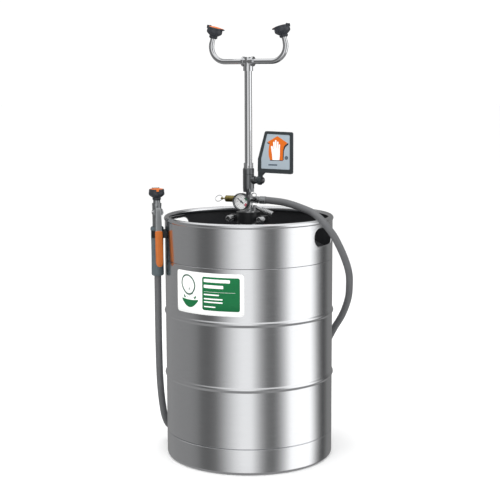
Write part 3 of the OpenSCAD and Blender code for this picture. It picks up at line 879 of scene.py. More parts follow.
@dataclass
class DrenchHose:
    """Hose from the manifold over the rim, round the back in one loose turn, to the handset."""

    radius: float = 8.5 * MM
    steps: int = 5
    sides: int = 28
    right_mm: tuple = (
        (61, -29, 630), (85, -45, 628), (107, -66, 624), (130, -94, 618), (148, -115, 612),
        (160, -127, 604), (170, -135, 596), (183, -143, 580), (198, -145, 560), (211, -139, 536),
        (223, -124, 510), (234, -100, 481), (241, -74, 454), (244, -44, 425), (245, -12, 393),
        (240, 20, 359), (231, 50, 327), (217, 77, 295), (201, 104, 254), (186, 129, 205),
        (171, 150, 154), (156, 169, 104), (138, 185, 60), (118, 199, 31), (94, 212, 15),
        (66, 228, 10), (30, 245, 9), (-4, 263, 9),
    )
    turn_centre_mm: tuple = (10, 373)
    turn_radius_mm: float = 100
    lie_mm: float = 9
    left_mm: tuple = (
        (101, 323, 16), (80, 284, 25), (52, 257, 29), (20, 241, 27), (-20, 231, 17),
        (-60, 223, 10), (-102, 208, 9), (-139, 186, 9), (-170, 156, 12), (-194, 122, 22),
        (-209, 89, 40), (-216, 58, 70), (-219, 29, 108), (-221, 7, 149), (-222, -11, 196),
        (-222, -24, 250), (-222, -30, 305), (-222, -30, 360), (-222, -30, 410),
        (-222, -30, 448.8),
    )

    def route(self, start: Vector) -> list[Vector]:
        """Points along the hose's middle.

        Args:
            start: Where it leaves the ferrule.

        Returns:
            A smooth line to the foot of the handset's grip.
        """
        turn = [
            (*arc(self.turn_centre_mm, self.turn_radius_mm, degrees, degrees, 1)[0], self.lie_mm)
            for degrees in range(-120, -361, -30)
        ]
        marks = [Vector(p) * MM for p in (*self.right_mm, *turn, *self.left_mm)]
        line = smooth_route([start, *marks], self.steps)
        return [Vector((p.x, p.y, max(p.z, self.radius + 0.1 * MM))) for p in line]

    def build(self, shop: Workshop) -> None:
        low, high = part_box("hose_ferrule")
        port = (low + high) / 2
        start = shop.fittings @ Vector((46.2 * MM, 0, port.z))
        line = self.route(start)
        shape = Shape()
        shape.swept(line, self.radius, self.sides)
        hose = shop.piece("hose", shape, "", HOSE_SKIN, "hose_rubber", ["drench_hose"])
        hose.visible_glossy = False
        # The lift is taken up by the stretch behind the tank's left side.
        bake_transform(hose)
        length = sum((b - a).length for a, b in zip(line, line[1:]))
        LOG.info("hose length %.3f m", length)


# ---- Tank ----------------------------------------------------------------------------------


@dataclass
class Tank:
    """Pressure vessel, its two chimes with hand holes, and the printed label."""

    radius: float = 205 * MM
    sheet: float = 2 * MM
    seam_low: float = 63 * MM
    seam_high: float = 491 * MM
    rings: tuple = (206 * MM, 361 * MM)
    ring_out: float = 3 * MM
    ring_half: float = 8 * MM
    skirt: float = 2.2 * MM
    weld: float = 0.8 * MM  # depth of the groove along the upper seam
    foot_weld: float = 1.6 * MM
    dome: float = 60 * MM
    dish: float = 48 * MM
    neck_seat: float = 34 * MM
    neck_bore: float = 18 * MM
    bead: float = 6.5 * MM
    bead_in: float = 4.5 * MM
    hole_w: float = 105 * MM
    hole_h: float = 46 * MM
    hole_z: float = 552.5 * MM
    hole_turns: tuple = (-27, 153)
    steps: int = 240
    hole_columns: int = 12  # columns on each side of a hand hole's middle
    label_turns: tuple = (-145, -93)
    label_z: tuple = (380 * MM, 479 * MM)

    def dished(self, radius: float, end: float, z: float, rise: float) -> list[tuple]:
        """Quarter ellipse from the wall to a smaller radius."""
        turn = math.acos(end / radius)
        steps = [turn * i / 24 for i in range(25)]
        return [(radius * math.cos(t), z + rise * math.sin(t)) for t in steps]

    def ring(self, radius: float, z: float) -> list[tuple]:
        """Rolled ring on the wall, as (radius, height) points from below."""
        swell = [(a, (1 + math.cos(math.radians(2 * a))) / 2) for a in range(-90, 91, 9)]
        return [(radius + self.ring_out * s, z + self.ring_half * a / 90) for a, s in swell]

    def shell(self, shop: Workshop) -> None:
        """Make the vessel with its weld beads."""
        r, inner = self.radius, self.radius - self.skirt
        weld = self.weld
        wall = [(r - self.foot_weld, self.seam_low + 0.5 * MM)]
        wall += [(r, self.seam_low + up * MM) for up in (1.8, 2.1, 2.6)]
        for z in self.rings:
            wall += self.ring(r, z)
        wall += [(r, self.seam_high - down * MM) for down in (2.4, 1.9, 1.6)]
        wall += [(r - weld, self.seam_high - 0.7 * MM)]
        outside = self.dished(inner, 1e-9, self.seam_low, -self.dish)[::-1] + wall
        top = self.dished(inner, self.neck_seat, self.seam_high, self.dome)
        seat = top[-1][1]
        within = [(self.neck_bore, seat), (self.neck_bore, seat - self.sheet)]
        within += self.dished(inner - self.sheet, self.neck_seat, self.seam_high - 2 * MM, self.dome)[::-1]
        within += self.dished(inner - self.sheet, 1e-9, self.seam_low + 4 * MM, -self.dish)
        shape = Shape()
        shape.turned(outside + top + within, self.steps)
        # Faces of the top dish inside the rim take paint 1, a dark grey that is painted shade.
        for f, face in enumerate(shape.faces):
            z = sum(shape.points[i].z for i in face) / len(face)
            spread = sum(shape.points[i].xy.length for i in face) / len(face)
            if z > self.seam_high - 1 * MM and spread < r - weld - 0.2 * MM:
                shape.paint[f] = 1
        shop.piece(
            "pressure_shell", shape, "tank", [TANK_SHEET, RIM_WELL_PAINTED_SHADE], "tank_steel", ["tank_shell"]
        )

    def hole_point(self, share: float) -> tuple[float, float]:
        """Point on a hand hole's outline.

        Args:
            share: Direction from the hole's middle, in degrees from level.

        Returns:
            Distance sideways and upward from the middle.
        """
        c, s = math.cos(math.radians(share)), math.sin(math.radians(share))
        corner = self.hole_h / 2 - 2 * MM
        wide, tall = self.hole_w / 2 - corner, self.hole_h / 2 - corner
        low, high = 0.0, self.hole_w
        for _ in range(30):
            far = (low + high) / 2
            x, y = max(0.0, abs(far * c) - wide), max(0.0, abs(far * s) - tall)
            low, high = (far, high) if math.hypot(x, y) < corner else (low, far)
        return low * c, low * s

    def wall_point(self, radius: float, turn: float, across: float, up: float) -> tuple:
        """Place on the wall, across and up from the middle of a hand hole at a turn in radians."""
        angle = turn + across / self.radius
        return (radius * math.cos(angle), radius * math.sin(angle), self.hole_z + up)

    def hole_patch(self, shape: Shape, turn: float, low: float, high: float) -> None:
        """Wall round one hand hole, from its outline out to a rectangle of the wall's own grid.

        Args:
            shape: The chime's shape.
            turn: Direction of the hole's middle in radians.
            low: Bottom of the rectangle, from the hole's middle.
            high: Top of the rectangle, from the hole's middle.
        """
        step = 2 * math.pi / self.steps * self.radius
        half, rows = self.hole_columns, 10
        border = [(i * step, low) for i in range(-half, half)]
        border += [(half * step, low + (high - low) * i / rows) for i in range(rows)]
        border += [(-i * step, high) for i in range(-half, half)]
        border += [(-half * step, high - (high - low) * i / rows) for i in range(rows)]
        edge = [
            self.hole_point(math.degrees(math.atan2(y / self.hole_h, x / self.hole_w * 1.25)))
            for x, y in border
        ]
        # Paint 1 on the inner face around the hole is the dark painted shade.
        for radius, paint in ((self.radius, 0), (self.radius - self.sheet, 1)):
            grid = []
            for share in (0, 0.12, 0.3, 0.6, 1):
                row = [mix((*a, 0), (*b, 0), share) for a, b in zip(edge, border)]
                grid.append([self.wall_point(radius, turn, p.x, p.y) for p in row])
            shape.grid(grid, True, paint)
        sides = [
            [self.wall_point(r, turn, *p) for p in edge]
            for r in (self.radius, self.radius - self.sheet)
        ]
        shape.grid(sides, True, 0)

    def wall_ring(self, radius: float, z: float, columns: Iterable[int]) -> list[tuple]:
        """Points of the wall's columns at one radius and height."""
        step = 2 * math.pi / self.steps
        return [(radius * math.cos(step * k), radius * math.sin(step * k), z) for k in columns]

    def top_chime(self, shop: Workshop) -> None:
        """Make the rolled rim with its two hand holes and their rolled lips."""
        shape = Shape()
        foot = self.seam_high - 0.4 * MM
        bead_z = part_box("top_chime")[1].z - self.bead
        low, high = -30 * MM, 31 * MM
        levels = [foot, *(foot + up * MM for up in (0.9, 1.2, 1.7)), self.hole_z + low]
        upper = [self.hole_z + high, bead_z - 2 * MM]
        step = 2 * math.pi / self.steps
        turns = [math.radians(t) for t in self.hole_turns]
        near = range(-self.hole_columns, self.hole_columns)
        holes = {(round(t / step) + k) % self.steps for t in turns for k in near}
        # Paint 1 on the inner face of the rim wall is a dark grey that is painted shade.
        for side, paint in ((0.0, 0), (self.sheet, 1)):
            r = self.radius - side
            dip = self.weld if not side else 0.0
            for stack in (levels, upper):
                rows = []
                for i, z in enumerate(stack):
                    radius = r - dip if stack is levels and i == 0 else r
                    rows.append(self.wall_ring(radius, z, range(self.steps)))
                shape.grid(rows, True, paint)
            for k in range(self.steps):
                if k in holes:
                    continue
                rows = []
                for i in range(11):
                    z = levels[-1] + (upper[0] - levels[-1]) * i / 10
                    rows.append(self.wall_ring(r, z, (k, k + 1)))
                shape.grid(rows, False, paint)
        foot_ring = [
            self.wall_ring(r, foot, range(self.steps))
            for r in (self.radius - self.weld, self.radius - self.sheet)
        ]
        shape.grid(foot_ring, True, 0)
        for turn in turns:
            self.hole_patch(shape, round(turn / step) * step, low, high)
        shop.piece(
            "rim_wall", shape, "tank", [TANK_SHEET, RIM_WELL_PAINTED_SHADE], "tank_steel", ["top_chime"], crease=50
        )
        rim = Shape(Matrix.Translation((0, 0, bead_z)))
        middle = self.radius - self.bead_in
        rim.turned(arc((middle, 0), self.bead, 0, 345, 23), self.steps)
        shop.piece("rim_bead", rim, "tank", TANK_SHEET, "tank_steel")
        for name, turn in zip(("right", "left"), turns):
            lip = Shape()
            round_hole = [self.hole_point(a * 360 / 96) for a in range(96)]
            middle, at = self.radius - self.sheet / 2, round(turn / step) * step
            rows = [self.wall_point(middle, at, x * 0.992, y * 0.985) for x, y in round_hole]
            lip.swept(rows, 1.4 * MM, 12, closed=True)
            shop.piece(f"hand_hole_lip_{name}", lip, "tank", TANK_SHEET, "tank_steel")

    def foot_chime(self, shop: Workshop) -> None:
        """Make the foot with its rolled edge."""
        r, fold = self.radius, 8 * MM
        outer = arc((r - fold, fold), fold, 0, -90, 8)
        inner = arc((r - fold, fold), fold - self.sheet, -90, 0, 8)
        profile = [
            (r - self.sheet, self.seam_low),
            (r - self.foot_weld, self.seam_low - 0.2 * MM),
            *((r, self.seam_low - down * MM) for down in (1.5, 1.8, 2.3)),
            *outer,
            (r - 17 * MM, 0),
            (r - 17 * MM, self.sheet),
            *inner,
        ]
        shape = Shape()
        shape.turned(profile[::-1], self.steps)
        shop.piece("foot_ring", shape, "tank", TANK_SHEET, "tank_steel", ["bottom_chime"])

    def build(self, shop: Workshop) -> None:
        """Make the tank and the fittings welded to it."""
        self.shell(shop)
        self.top_chime(shop)
        self.foot_chime(shop)
        Label(self.radius, self.label_turns, self.label_z).build(shop)
        shop.dress(FITTING_STEEL, "tank_neck", "dip_tube")
        shop.dress(BRASS, "dip_strainer")


@dataclass
class Label:
    """Safety label wrapped on the tank: a head over a spray bowl, and a green panel of bars."""

    radius: float
    turns: tuple
    heights: tuple
    film: float = 0.35 * MM
    ink: float = 0.12 * MM

    def wrap(self, across: float, up: float, lift: float) -> tuple:
        """Place on the tank, across from the label's left end and up from its foot."""
        angle = math.radians(self.turns[0]) + across / self.radius
        r = self.radius + lift
        return (r * math.cos(angle), r * math.sin(angle), self.heights[0] + up)

    def patch(
        self,
        shape: Shape,
        lower: Callable[[float], float],
        upper: Callable[[float], float],
        start: float,
        end: float,
        lift: float,
    ) -> None:
        """Add the area between two curves.

        Args:
            shape: The shape that it goes in.
            lower: Height of the lower edge at a place across.
            upper: Height of the upper edge at a place across.
            start: Left end.
            end: Right end.
            lift: Height above the steel.
        """
        wide = end - start
        ease = [(1 - math.cos(math.pi * i / 40)) / 2 for i in range(41)]
        columns = [start + wide * e for e in ease]
        rows = [
            [self.wrap(x, lower(x) + (upper(x) - lower(x)) * k / 4, lift) for x in columns]
            for k in range(5)
        ]
        shape.grid(rows, False)

    def plate(
        self, shape: Shape, start: float, end: float, low: float, high: float, corner: float, lift: float
    ) -> None:
        """Add a rectangle with round corners.

        Args:
            shape: The shape that it goes in.
            start: Left end.
            end: Right end.
            low: Bottom.
            high: Top.
            corner: Radius of its corners.
            lift: Height above the steel.
        """

        def sink(x: float) -> float:
            """How far the corner's arc draws the edge in at x."""
            near = min(x - start, end - x)
            if near >= corner:
                return 0.0
            return corner - math.sqrt(max(0.0, corner**2 - (corner - near) ** 2))

        self.patch(shape, lambda x: low + sink(x), lambda x: high - sink(x), start, end, lift)

    def line(
        self, shape: Shape, path: Sequence[Point], width: float, lift: float, closed: bool
    ) -> None:
        """Add a band of one width along a path.

        Args:
            shape: The shape that it goes in.
            path: Points across and up the label.
            width: Width of the band.
            lift: Height above the steel.
            closed: Whether its end joins its start.
        """
        n = len(path)
        rows: list[list] = [[], []]
        for i, p in enumerate(path):
            before = Vector(path[i - 1]) if closed or i else Vector(p)
            after = Vector(path[(i + 1) % n]) if closed or i < n - 1 else Vector(p)
            way = (after - before).normalized()
            out = Vector((-way.y, way.x)) * width / 2
            for row, side in zip(rows, (-1, 1)):
                q = Vector(p) + side * out
                row.append(self.wrap(q.x, q.y, lift))
        shape.grid(rows, closed)

    def build(self, shop: Workshop) -> None:
        """Make the film and its print."""
        wide = math.radians(self.turns[1] - self.turns[0]) * self.radius
        tall = self.heights[1] - self.heights[0]
        film = Shape()
        self.plate(film, 0, wide, 0, tall, 7 * MM, self.film)
        shop.piece(
            "safety_label", film, "tank", FILM_WHITE, "label_film", ["tank_label"],
            thickness=-self.film * 0.9,
        )
        lift = self.film + 0.05 * MM
        green = Shape()
        left, right = 0.447 * wide, 0.948 * wide
        low, high = 0.115 * tall, 0.91 * tall
        self.plate(green, left, right, low, high, 5 * MM, lift)
        cx, top = 0.215 * wide, 0.37 * tall
        bowl = cx + 5 * MM
        self.patch(
            green,
            lambda x: top - 23 * MM + 17 * MM * (abs(x - bowl) / (26 * MM)) ** 2,
            lambda x: top - (5.0 - 2.0 * (abs(x - bowl) / (26 * MM)) ** 2) * MM,
            bowl - 26 * MM,
            bowl + 26 * MM,
            lift,
        )
        for side in (-1, 1):
            leaf = [(bowl + side * (15 + k) * MM, top + (1.5 * k - 1.5) * MM) for k in range(5)]
            self.line(green, leaf, 4.2 * MM, lift, False)
        shop.piece("label_green", green, "tank", INK_GREEN, "label_film", thickness=self.ink)
        outline = Shape()
        oval = []
        for k in range(64):
            t = 2 * math.pi * k / 64
            x, y = math.sin(t), -math.cos(t)
            chin = 1 - 0.22 * max(0.0, -y) ** 1.5 * abs(x)
            oval.append((cx + (21.5 * x * chin - 2.5 * y) * MM, 0.675 * tall + 22.5 * MM * y))
        self.line(outline, oval, 3.6 * MM, lift, True)
        nose = [(cx + side * MM, 0.56 * tall + up * MM) for side, up in ((2.5, 0), (5.5, 0.5), (4.5, 5))]
        self.line(outline, nose, 2.0 * MM, lift, True)
        for k in range(5):
            for m in range(6 - k % 2):
                x = bowl + (m - 2.5 + 0.5 * (k % 2)) * 5.2 * MM
                y = top + (0.5 + 2.9 * k) * MM
                if abs(x - bowl) > (13.5 - k) * MM:
                    continue
                self.plate(outline, x - 0.8 * MM, x + 0.8 * MM, y, y + 1.6 * MM, 0.75 * MM, lift)
        shop.piece("label_outline", outline, "tank", INK_GREEN_LINE, "label_film", thickness=self.ink)
        bars = Shape()
        inset = left + 4.5 * MM
        for up, length, thick in (
            (0.785, 0.74, 7.5), (0.645, 0.56, 7.5), (0.555, 0.88, 0.5), (0.475, 0.44, 3.0),
            (0.375, 0.54, 3.0), (0.30, 0.54, 3.0), (0.19, 0.34, 2.6),
        ):  # fmt: skip
            y, end = up * tall, inset + length * (right - inset)
            self.plate(bars, inset, end, y, y + thick * MM, min(thick / 2, 1.5) * MM, lift + self.ink)
        shop.piece("label_bars", bars, "tank", INK_WHITE, "label_film", thickness=self.ink)


# ---- Closure and manifold ------------------------------------------------------------------


def ribbed(radius: float, height: float, ribs: int, bore: float = 0.0) -> list[tuple]:
    """Outline of a hand nut with round ribs, to be turned.

    Args:
        radius: Outer radius.
        height: Its height.
        ribs: Number of ribs.
        bore: Radius of its bore.

    Returns:
        The (radius, height) outline.
    """
    pitch = height / ribs
    points = [(bore, 0.0)]
    for i in range(ribs):
        for k in range(9):
            swell = math.sin(math.pi * k / 8) ** 0.6
            points.append((radius - 1.4 * MM * (1 - swell), (i + k / 8) * pitch))
    return [*points, (bore, height)]


@dataclass
class Closure:
    """Grooved coupling with its bolts, the cap, and the air valve."""

    bolt_u: float = 41 * MM
    bolt_z: float = 585 * MM

    def bolts(self, shop: Workshop) -> None:
        """Make the two bolts with ribbed hand nuts."""
        shape = Shape()
        for side in (-1, 1):
            shape.place = placed(shop.fittings, (side * self.bolt_u, 0, self.bolt_z), 90, "X")
            shape.turned(mm(((0, -16), (4, -16), (4, 27.4), (3.4, 28), (0, 28))), 32)
            nut = [(r, z + 9.2 * MM) for r, z in ribbed(8 * MM, 21.6 * MM, 6, 4.6 * MM)]
            shape.turned(nut, 40)
            shape.prism(arc((0, 0), 7 * MM, 0, 300, 5), -16 * MM, -9.2 * MM)
        shop.piece(
            "hand_nut_bolts", shape, "tank", FITTING_STEEL, "pipe_steel", ["coupling_bolts"], edge=0.25 * MM
        )

    def air_valve(self, shop: Workshop) -> None:
        """Make the ribbed cap on the air valve."""
        joint = shop.joint("air_cap_off")
        along = Vector(joint["axis"])
        low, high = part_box("air_valve_cap")
        middle = (low + high) / 2
        turn = along.to_track_quat("Z", "Y").to_matrix().to_4x4()
        tall = 32 * MM
        shape = Shape(Matrix.Translation(middle - along * tall / 2) @ turn)
        profile = ribbed(7 * MM, tall, 8, 3.95 * MM)
        end = mm(((2.5, 32.2), (0, 32.2), (0, 13), (3.95, 13), (3.95, 0)))
        shape.turned(profile[1:-1] + end, 40)
        shop.piece(
            "air_cap", shape, "air_cap", FITTING_STEEL, "slate_plastic", ["air_valve_cap"], edge=0.2 * MM
        )
        shop.dress(FITTING_STEEL, "air_valve")

    def build(self, shop: Workshop) -> None:
        """Dress the closure and make its bolts and cap."""
        shop.dress(BLACK_ENAMEL, "coupling_front", "coupling_rear")
        shop.dress(GASKET_RUBBER, "closure_gasket")
        shop.dress(FITTING_STEEL, "closure_cap")
        self.bolts(shop)
        self.air_valve(shop)


@dataclass
class Coil:
    """Compression spring wound up from its seat."""

    node: str
    radius: float
    wire: float
    length: float
    turns: int
    keep: float  # share of the length that is left at the joint's limit

    def build(self, shop: Workshop, seat: Matrix, body: str, joint: str) -> None:
        """Wind the coil.

        Args:
            shop: Where the pieces are made.
            seat: Frame at the end that stays, with its Z along the coil.
            body: The CAD body that it rides on.
            joint: The joint that presses it; not used.
        """
        n = self.turns * 16
        path = []
        for k in range(n + 1):
            turn = math.tau * k / 16
            up = self.wire + (self.length - 2 * self.wire) * k / n
            path.append((self.radius * math.cos(turn), self.radius * math.sin(turn), up))
        shape = Shape(seat)
        shape.swept(path, self.wire, 8)
        made = shop.piece(f"{self.node}_coil", shape, body, SPRING, "pipe_steel", [self.node])
        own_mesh(made)


@dataclass
class Manifold:
    """Cross fitting with the gauge, the relief valve, the hose barb and its ferrule."""

    gauge_r: float = 18.4 * MM
    marks: int = 30
    sweep: tuple = (225.0, -45.0)  # first and last mark of the dial, in degrees
    dial_lift: float = 3.3 * MM  # front of the dial, ahead of the needle's joint
    needle_turn: float = 52.0  # degrees

    def dial(self, shop: Workshop) -> None:
        """Print the dial: marks, numbers and two coloured zones."""
        pivot = shop.pivot("gauge_reading")
        low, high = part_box("gauge_face")
        place = placed(Matrix.Translation(pivot) @ shop.fittings.to_3x3().to_4x4(), (0, 0, 0), 90, "X")
        front = place @ Matrix.Translation((0, 0, self.dial_lift))
        plate, face_r = Shape(front), (high.z - low.z) / 2
        back, bore = -6.3 * MM, 1.8 * MM
        plate.turned([(bore, back), (face_r, back), (face_r, 0), (bore, 0)], 64)
        shop.piece("dial_plate", plate, "tank", DIAL_WHITE, "gauge_dial", ["gauge_face"], edge=0.1 * MM)
        pointer = Shape(place @ Matrix.Rotation(math.radians(self.needle_turn), 4, "Z"))
        pointer.turned(mm(((0, -2.5), (1.5, -2.5), (1.5, 3.9), (2.9, 4.1), (2.7, 5.3), (0, 5.6))), 32)
        pointer.prism(mm(((-1.7, -7), (1.7, -7), (0.5, 13), (-0.5, 13))), 4.2 * MM, 5.0 * MM)
        shop.piece(
            "needle_pointer", pointer, "needle", INK_DARK, "gauge_dial", ["gauge_needle"], edge=0.1 * MM
        )
        black = Shape(front)
        for k in range(self.marks + 1):
            a = math.radians(self.sweep[0] + (self.sweep[1] - self.sweep[0]) * k / self.marks)
            long = k % 5 == 0
            way = Vector((math.cos(a), math.sin(a)))
            side = Vector((-way.y, way.x)) * (0.26 if long else 0.14) * MM
            outer, inner = way * 0.86 * self.gauge_r, way * (0.70 if long else 0.78) * self.gauge_r
            black.prism([outer - side, outer + side, inner + side, inner - side], 0, 0.12 * MM)
        shop.piece("dial_marks", black, "tank", INK_DARK, "gauge_dial")
        for name, finish, start, end in (("green", INK_GREEN, 44, 8), ("red", INK_RED, -18, -50)):
            zone = Shape(front)
            band = arc((0, 0), 0.90 * self.gauge_r, start, end, 12)
            band += arc((0, 0), 0.60 * self.gauge_r, end, start, 12)
            zone.prism(band[::-1], -0.05 * MM, 0.08 * MM)
            shop.piece(f"dial_zone_{name}", zone, "tank", finish, "gauge_dial")
        for k in range(7):
            a = math.radians(self.sweep[0] + (self.sweep[1] - self.sweep[0]) * k / 6)
            self.number(shop, str(k * 30), front, a)

    def number(self, shop: Workshop, words: str, front: Matrix, angle: float) -> None:
        """Print one number on the dial.

        Args:
            shop: Where the pieces are made.
            words: The number.
            front: Frame of the dial's front.
            angle: Its direction from the middle, in radians.
        """
        letters = bpy.data.curves.new(f"dial_number_{words}", "FONT")
        letters.body, letters.size = words, 2.6 * MM
        letters.align_x = letters.align_y = "CENTER"
        letters.extrude = 0.05 * MM
        letters.materials.append(INK_DARK.material())
        made = bpy.data.objects.new(f"dial_number_{words}", letters)
        at = Vector((math.cos(angle), math.sin(angle), 0)) * 0.56 * self.gauge_r
        made.matrix_world = front @ Matrix.Translation(at + Vector((0, 0, 0.06 * MM)))
        bpy.context.scene.collection.objects.link(made)
        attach(made, "tank")

    def relief(self, shop: Workshop) -> None:
        """Make the relief valve's turned body with its grooves."""
        low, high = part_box("relief_body")
        port = (low.z + high.z) / 2
        place = placed(shop.fittings, (0, 0, port), -90, "Y")
        shape = Shape(place)
        shape.prism(arc((0, 0), 9 * MM, 0, 300, 5), 18 * MM, 26 * MM)
        outside = [(7.5, 26), (8, 26.5)]
        for z in (36, 41, 46, 51, 56):
            outside += [(8, z - 1), (7.1, z - 0.6), (7.1, z + 0.6), (8, z + 1)]
        outside += [(8, 60.6), (6.8, 62), (1.7, 62), (1.7, 59), (6, 59), (6, 26)]
        shape.turned(mm(outside), 48)
        shop.piece("relief_valve", shape, "tank", BRASS, "brass_metal", ["relief_body"], edge=0.3 * MM)
        shop.dress(BRASS, "relief_stem")
        seat = placed(place, (0, 0, 58.7 * MM), 180, "X")
        coil = Coil("relief_spring", 4.2 * MM, 0.6 * MM, 32.4 * MM, 11, 0.86)
        coil.build(shop, seat, "tank", "relief_ring_pull")
        shop.dress(TUBE_STEEL, "relief_ring")

    def ferrule(self, shop: Workshop) -> None:
        """Make the crimped ferrule on the hose, with its pressed rings."""
        low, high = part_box("hose_ferrule")
        port = (low.z + high.z) / 2
        outside = [(5.7, 30), (8.9, 30), (9.4, 30.6)]
        for z in (34, 38.5, 43):
            outside += [(9.6, z - 1.6), (8.8, z - 0.9), (8.8, z + 0.9), (9.6, z + 1.6)]
        outside += [(8.9, 46), (5, 46), (5, 44), (5.7, 44)]
        shape = Shape(placed(shop.fittings, (0, 0, port), 90, "Y"))
        shape.turned(mm(outside), 48)
        shop.piece(
            "crimped_ferrule", shape, "tank", CAST_ZINC, "pipe_steel", ["hose_ferrule"], edge=0.3 * MM
        )

    def split_ring(self, shop: Workshop) -> None:
        """Make the split ring that hangs in a lug beside the valve nipple."""
        shape = Shape(placed(shop.fittings, (18 * MM, -8 * MM, 641.5 * MM), 70, "X"))
        shape.swept([(x * MM, y * MM, 0) for x, y in arc((0, 0), 6.6, 0, 348, 29)], 0.8 * MM, 10)
        shape.swept([(x * MM, y * MM, 1.3 * MM) for x, y in arc((0, 0), 6.6, 90, 438, 29)], 0.8 * MM, 10)
        shop.piece("split_ring", shape, "tank", SPRING, "pipe_steel")

    def build(self, shop: Workshop) -> None:
        """Dress and detail the manifold."""
        shop.dress(FITTING_STEEL, "manifold", "hose_barb")
        shop.dress(DARK_PLATE, "gauge_case")
        shop.dress(LENS, "gauge_lens")
        self.dial(shop)
        self.relief(shop)
        self.ferrule(shop)
        self.split_ring(shop)


# ---- Valve and flag ------------------------------------------------------------------------


@dataclass
class BallValve:
    """Stay-open ball valve with its push flag."""

    radius: float = 13.75 * MM
    flag_t: float = 6 * MM
    outline_mm: tuple = (
        (45.5, 119), (117, 117), (117, 17), (44, 18.4), (37, 11), (36.5, -5), (24.8, -5), (26.5, 52),
    )
    border_mm: tuple = ((45.5, 119), (117, 117), (117, 17), (25.5, 19), (26.5, 52))
    panel_mm: tuple = ((51, 112.5), (110, 110.5), (110, 27.5), (35, 28.5), (35, 53))

    def body(self, shop: Workshop) -> None:
        """Make the valve's outer case: hexagon foot, barrel, end cap and stem boss."""
        axis = shop.pivot("flag_push").z
        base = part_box("valve_body")[0].z
        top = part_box("valve_end_cap")[1].z
        shape = Shape(shop.fittings)
        shape.prism(arc((0, 0), self.radius + 1 * MM, 0, 300, 5), base, base + 9 * MM)
        r, bore, seam = self.radius, 6 * MM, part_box("valve_end_cap")[0].z + 3 * MM
        profile = [(bore, base + 1 * MM), (r - 1 * MM, base + 1 * MM), (r, base + 9 * MM)]
        profile += [(r, seam - 0.8 * MM), (r - 0.8 * MM, seam), (r, seam + 0.8 * MM)]
        profile += [(r, top - 2.5 * MM), (r - 1.6 * MM, top), (bore, top)]
        shape.turned(profile, 64)
        shape.place = placed(shop.fittings, (0, 0, axis), 90, "Y")
        shape.turned(mm(((4.1, 8), (10, 8), (10, 17.2), (9.2, 18), (4.1, 18))), 48)
        shop.piece(
            "valve_case", shape, "tank", DARK_PLATE, "valve_metal", ["valve_body", "valve_end_cap"],
            edge=0.4 * MM,
        )
        shop.dress(SEAT_PTFE, "valve_seats")
        shop.dress(DARK_PLATE, "valve_gland_nut", "valve_nipple", "flag_nut")
        shop.dress(TUBE_STEEL, "valve_ball", "valve_stem")

    def flag(self, shop: Workshop) -> None:
        """Make the flag's frame with its raised border, and the printed panel."""
        axis = shop.pivot("flag_push").z
        place = placed(shop.fittings, (0, 0, axis), 90, "X")
        half = self.flag_t / 2
        outer = mm(rounded(self.outline_mm, 4.5))
        raised = mm(rounded(self.border_mm, 4.5))
        inner = mm(rounded(self.panel_mm, 2.5))
        shape = Shape(place)
        shape.prism(outer, -half, 0.8 * MM)
        border = Shape(place)
        self.rim(border, raised, inner, 0.8 * MM, half)
        shape.place = Matrix.Identity(4)
        shape.add(border.points, border.faces)
        shape.place = placed(shop.fittings, (0, 0, axis), 90, "Y")
        hub = [(4.1 * MM, 24.8 * MM), (9.4 * MM, 24.8 * MM), (10.4 * MM, 25.8 * MM), (10.4 * MM, 35.0 * MM)]
        hub += [(9.4 * MM, 36 * MM), (4.1 * MM, 36 * MM)]
        shape.turned(hub, 40)
        for k in range(12):
            a = math.radians(30 * k)
            c = Vector((10.2 * MM * math.cos(a), 10.2 * MM * math.sin(a)))
            shape.prism([c + Vector(p) for p in arc((0, 0), 1.2 * MM, 0, 300, 5)], 26.6 * MM, 34.4 * MM)
        shop.piece("flag_frame", shape, "flag", FLAG_ABS, "flag_plastic", ["flag_handle"], edge=0.5 * MM)
        panel = Shape(place)
        centre = self.middle(inner)
        panel.prism([p.lerp(centre, 0.004) for p in inner], 0.9 * MM, half - 0.5 * MM)
        shop.piece("flag_plate", panel, "flag", PANEL_FILM, "panel_print", ["flag_panel"], edge=0.15 * MM)
        self.pictogram(shop, place, half - 0.5 * MM)

    @staticmethod
    def middle(outline: Sequence[Vector]) -> Vector:
        """Mean of an outline's points."""
        return sum(outline, Vector((0, 0))) / len(outline)

    def rim(self, shape: Shape, outer: list, inner: list, low: float, high: float) -> None:
        """Add a border between two outlines.

        Args:
            shape: The shape that it goes in.
            outer: Its outer outline.
            inner: Its inner outline.
            low: Its foot.
            high: Its top.
        """
        centre = self.middle(inner)

        def at_angle(outline: list, angle: float) -> Vector:
            """Point where a ray from the centre leaves the outline."""
            way = Vector((math.cos(angle), math.sin(angle)))
            best = None
            for a, b in zip(outline, outline[1:] + outline[:1]):
                edge = b - a
                cross = way.x * edge.y - way.y * edge.x
                if abs(cross) < 1e-12:
                    continue
                away = a - centre
                t = (away.x * edge.y - away.y * edge.x) / cross
                s = (away.x * way.y - away.y * way.x) / cross
                if t > 0 and -0.01 <= s <= 1.01 and (best is None or t > best):
                    best = t
            return centre + way * best

        angles = sorted(math.atan2((p - centre).y, (p - centre).x) for p in [*inner, *outer])
        ring_in = [at_angle(inner, a) for a in angles]
        ring_out = [at_angle(outer, a) for a in angles]
        corners = ((ring_out, low), (ring_out, high), (ring_in, high), (ring_in, low), (ring_out, low))
        shape.grid([[(p.x, p.y, z) for p in ring] for ring, z in corners], True)

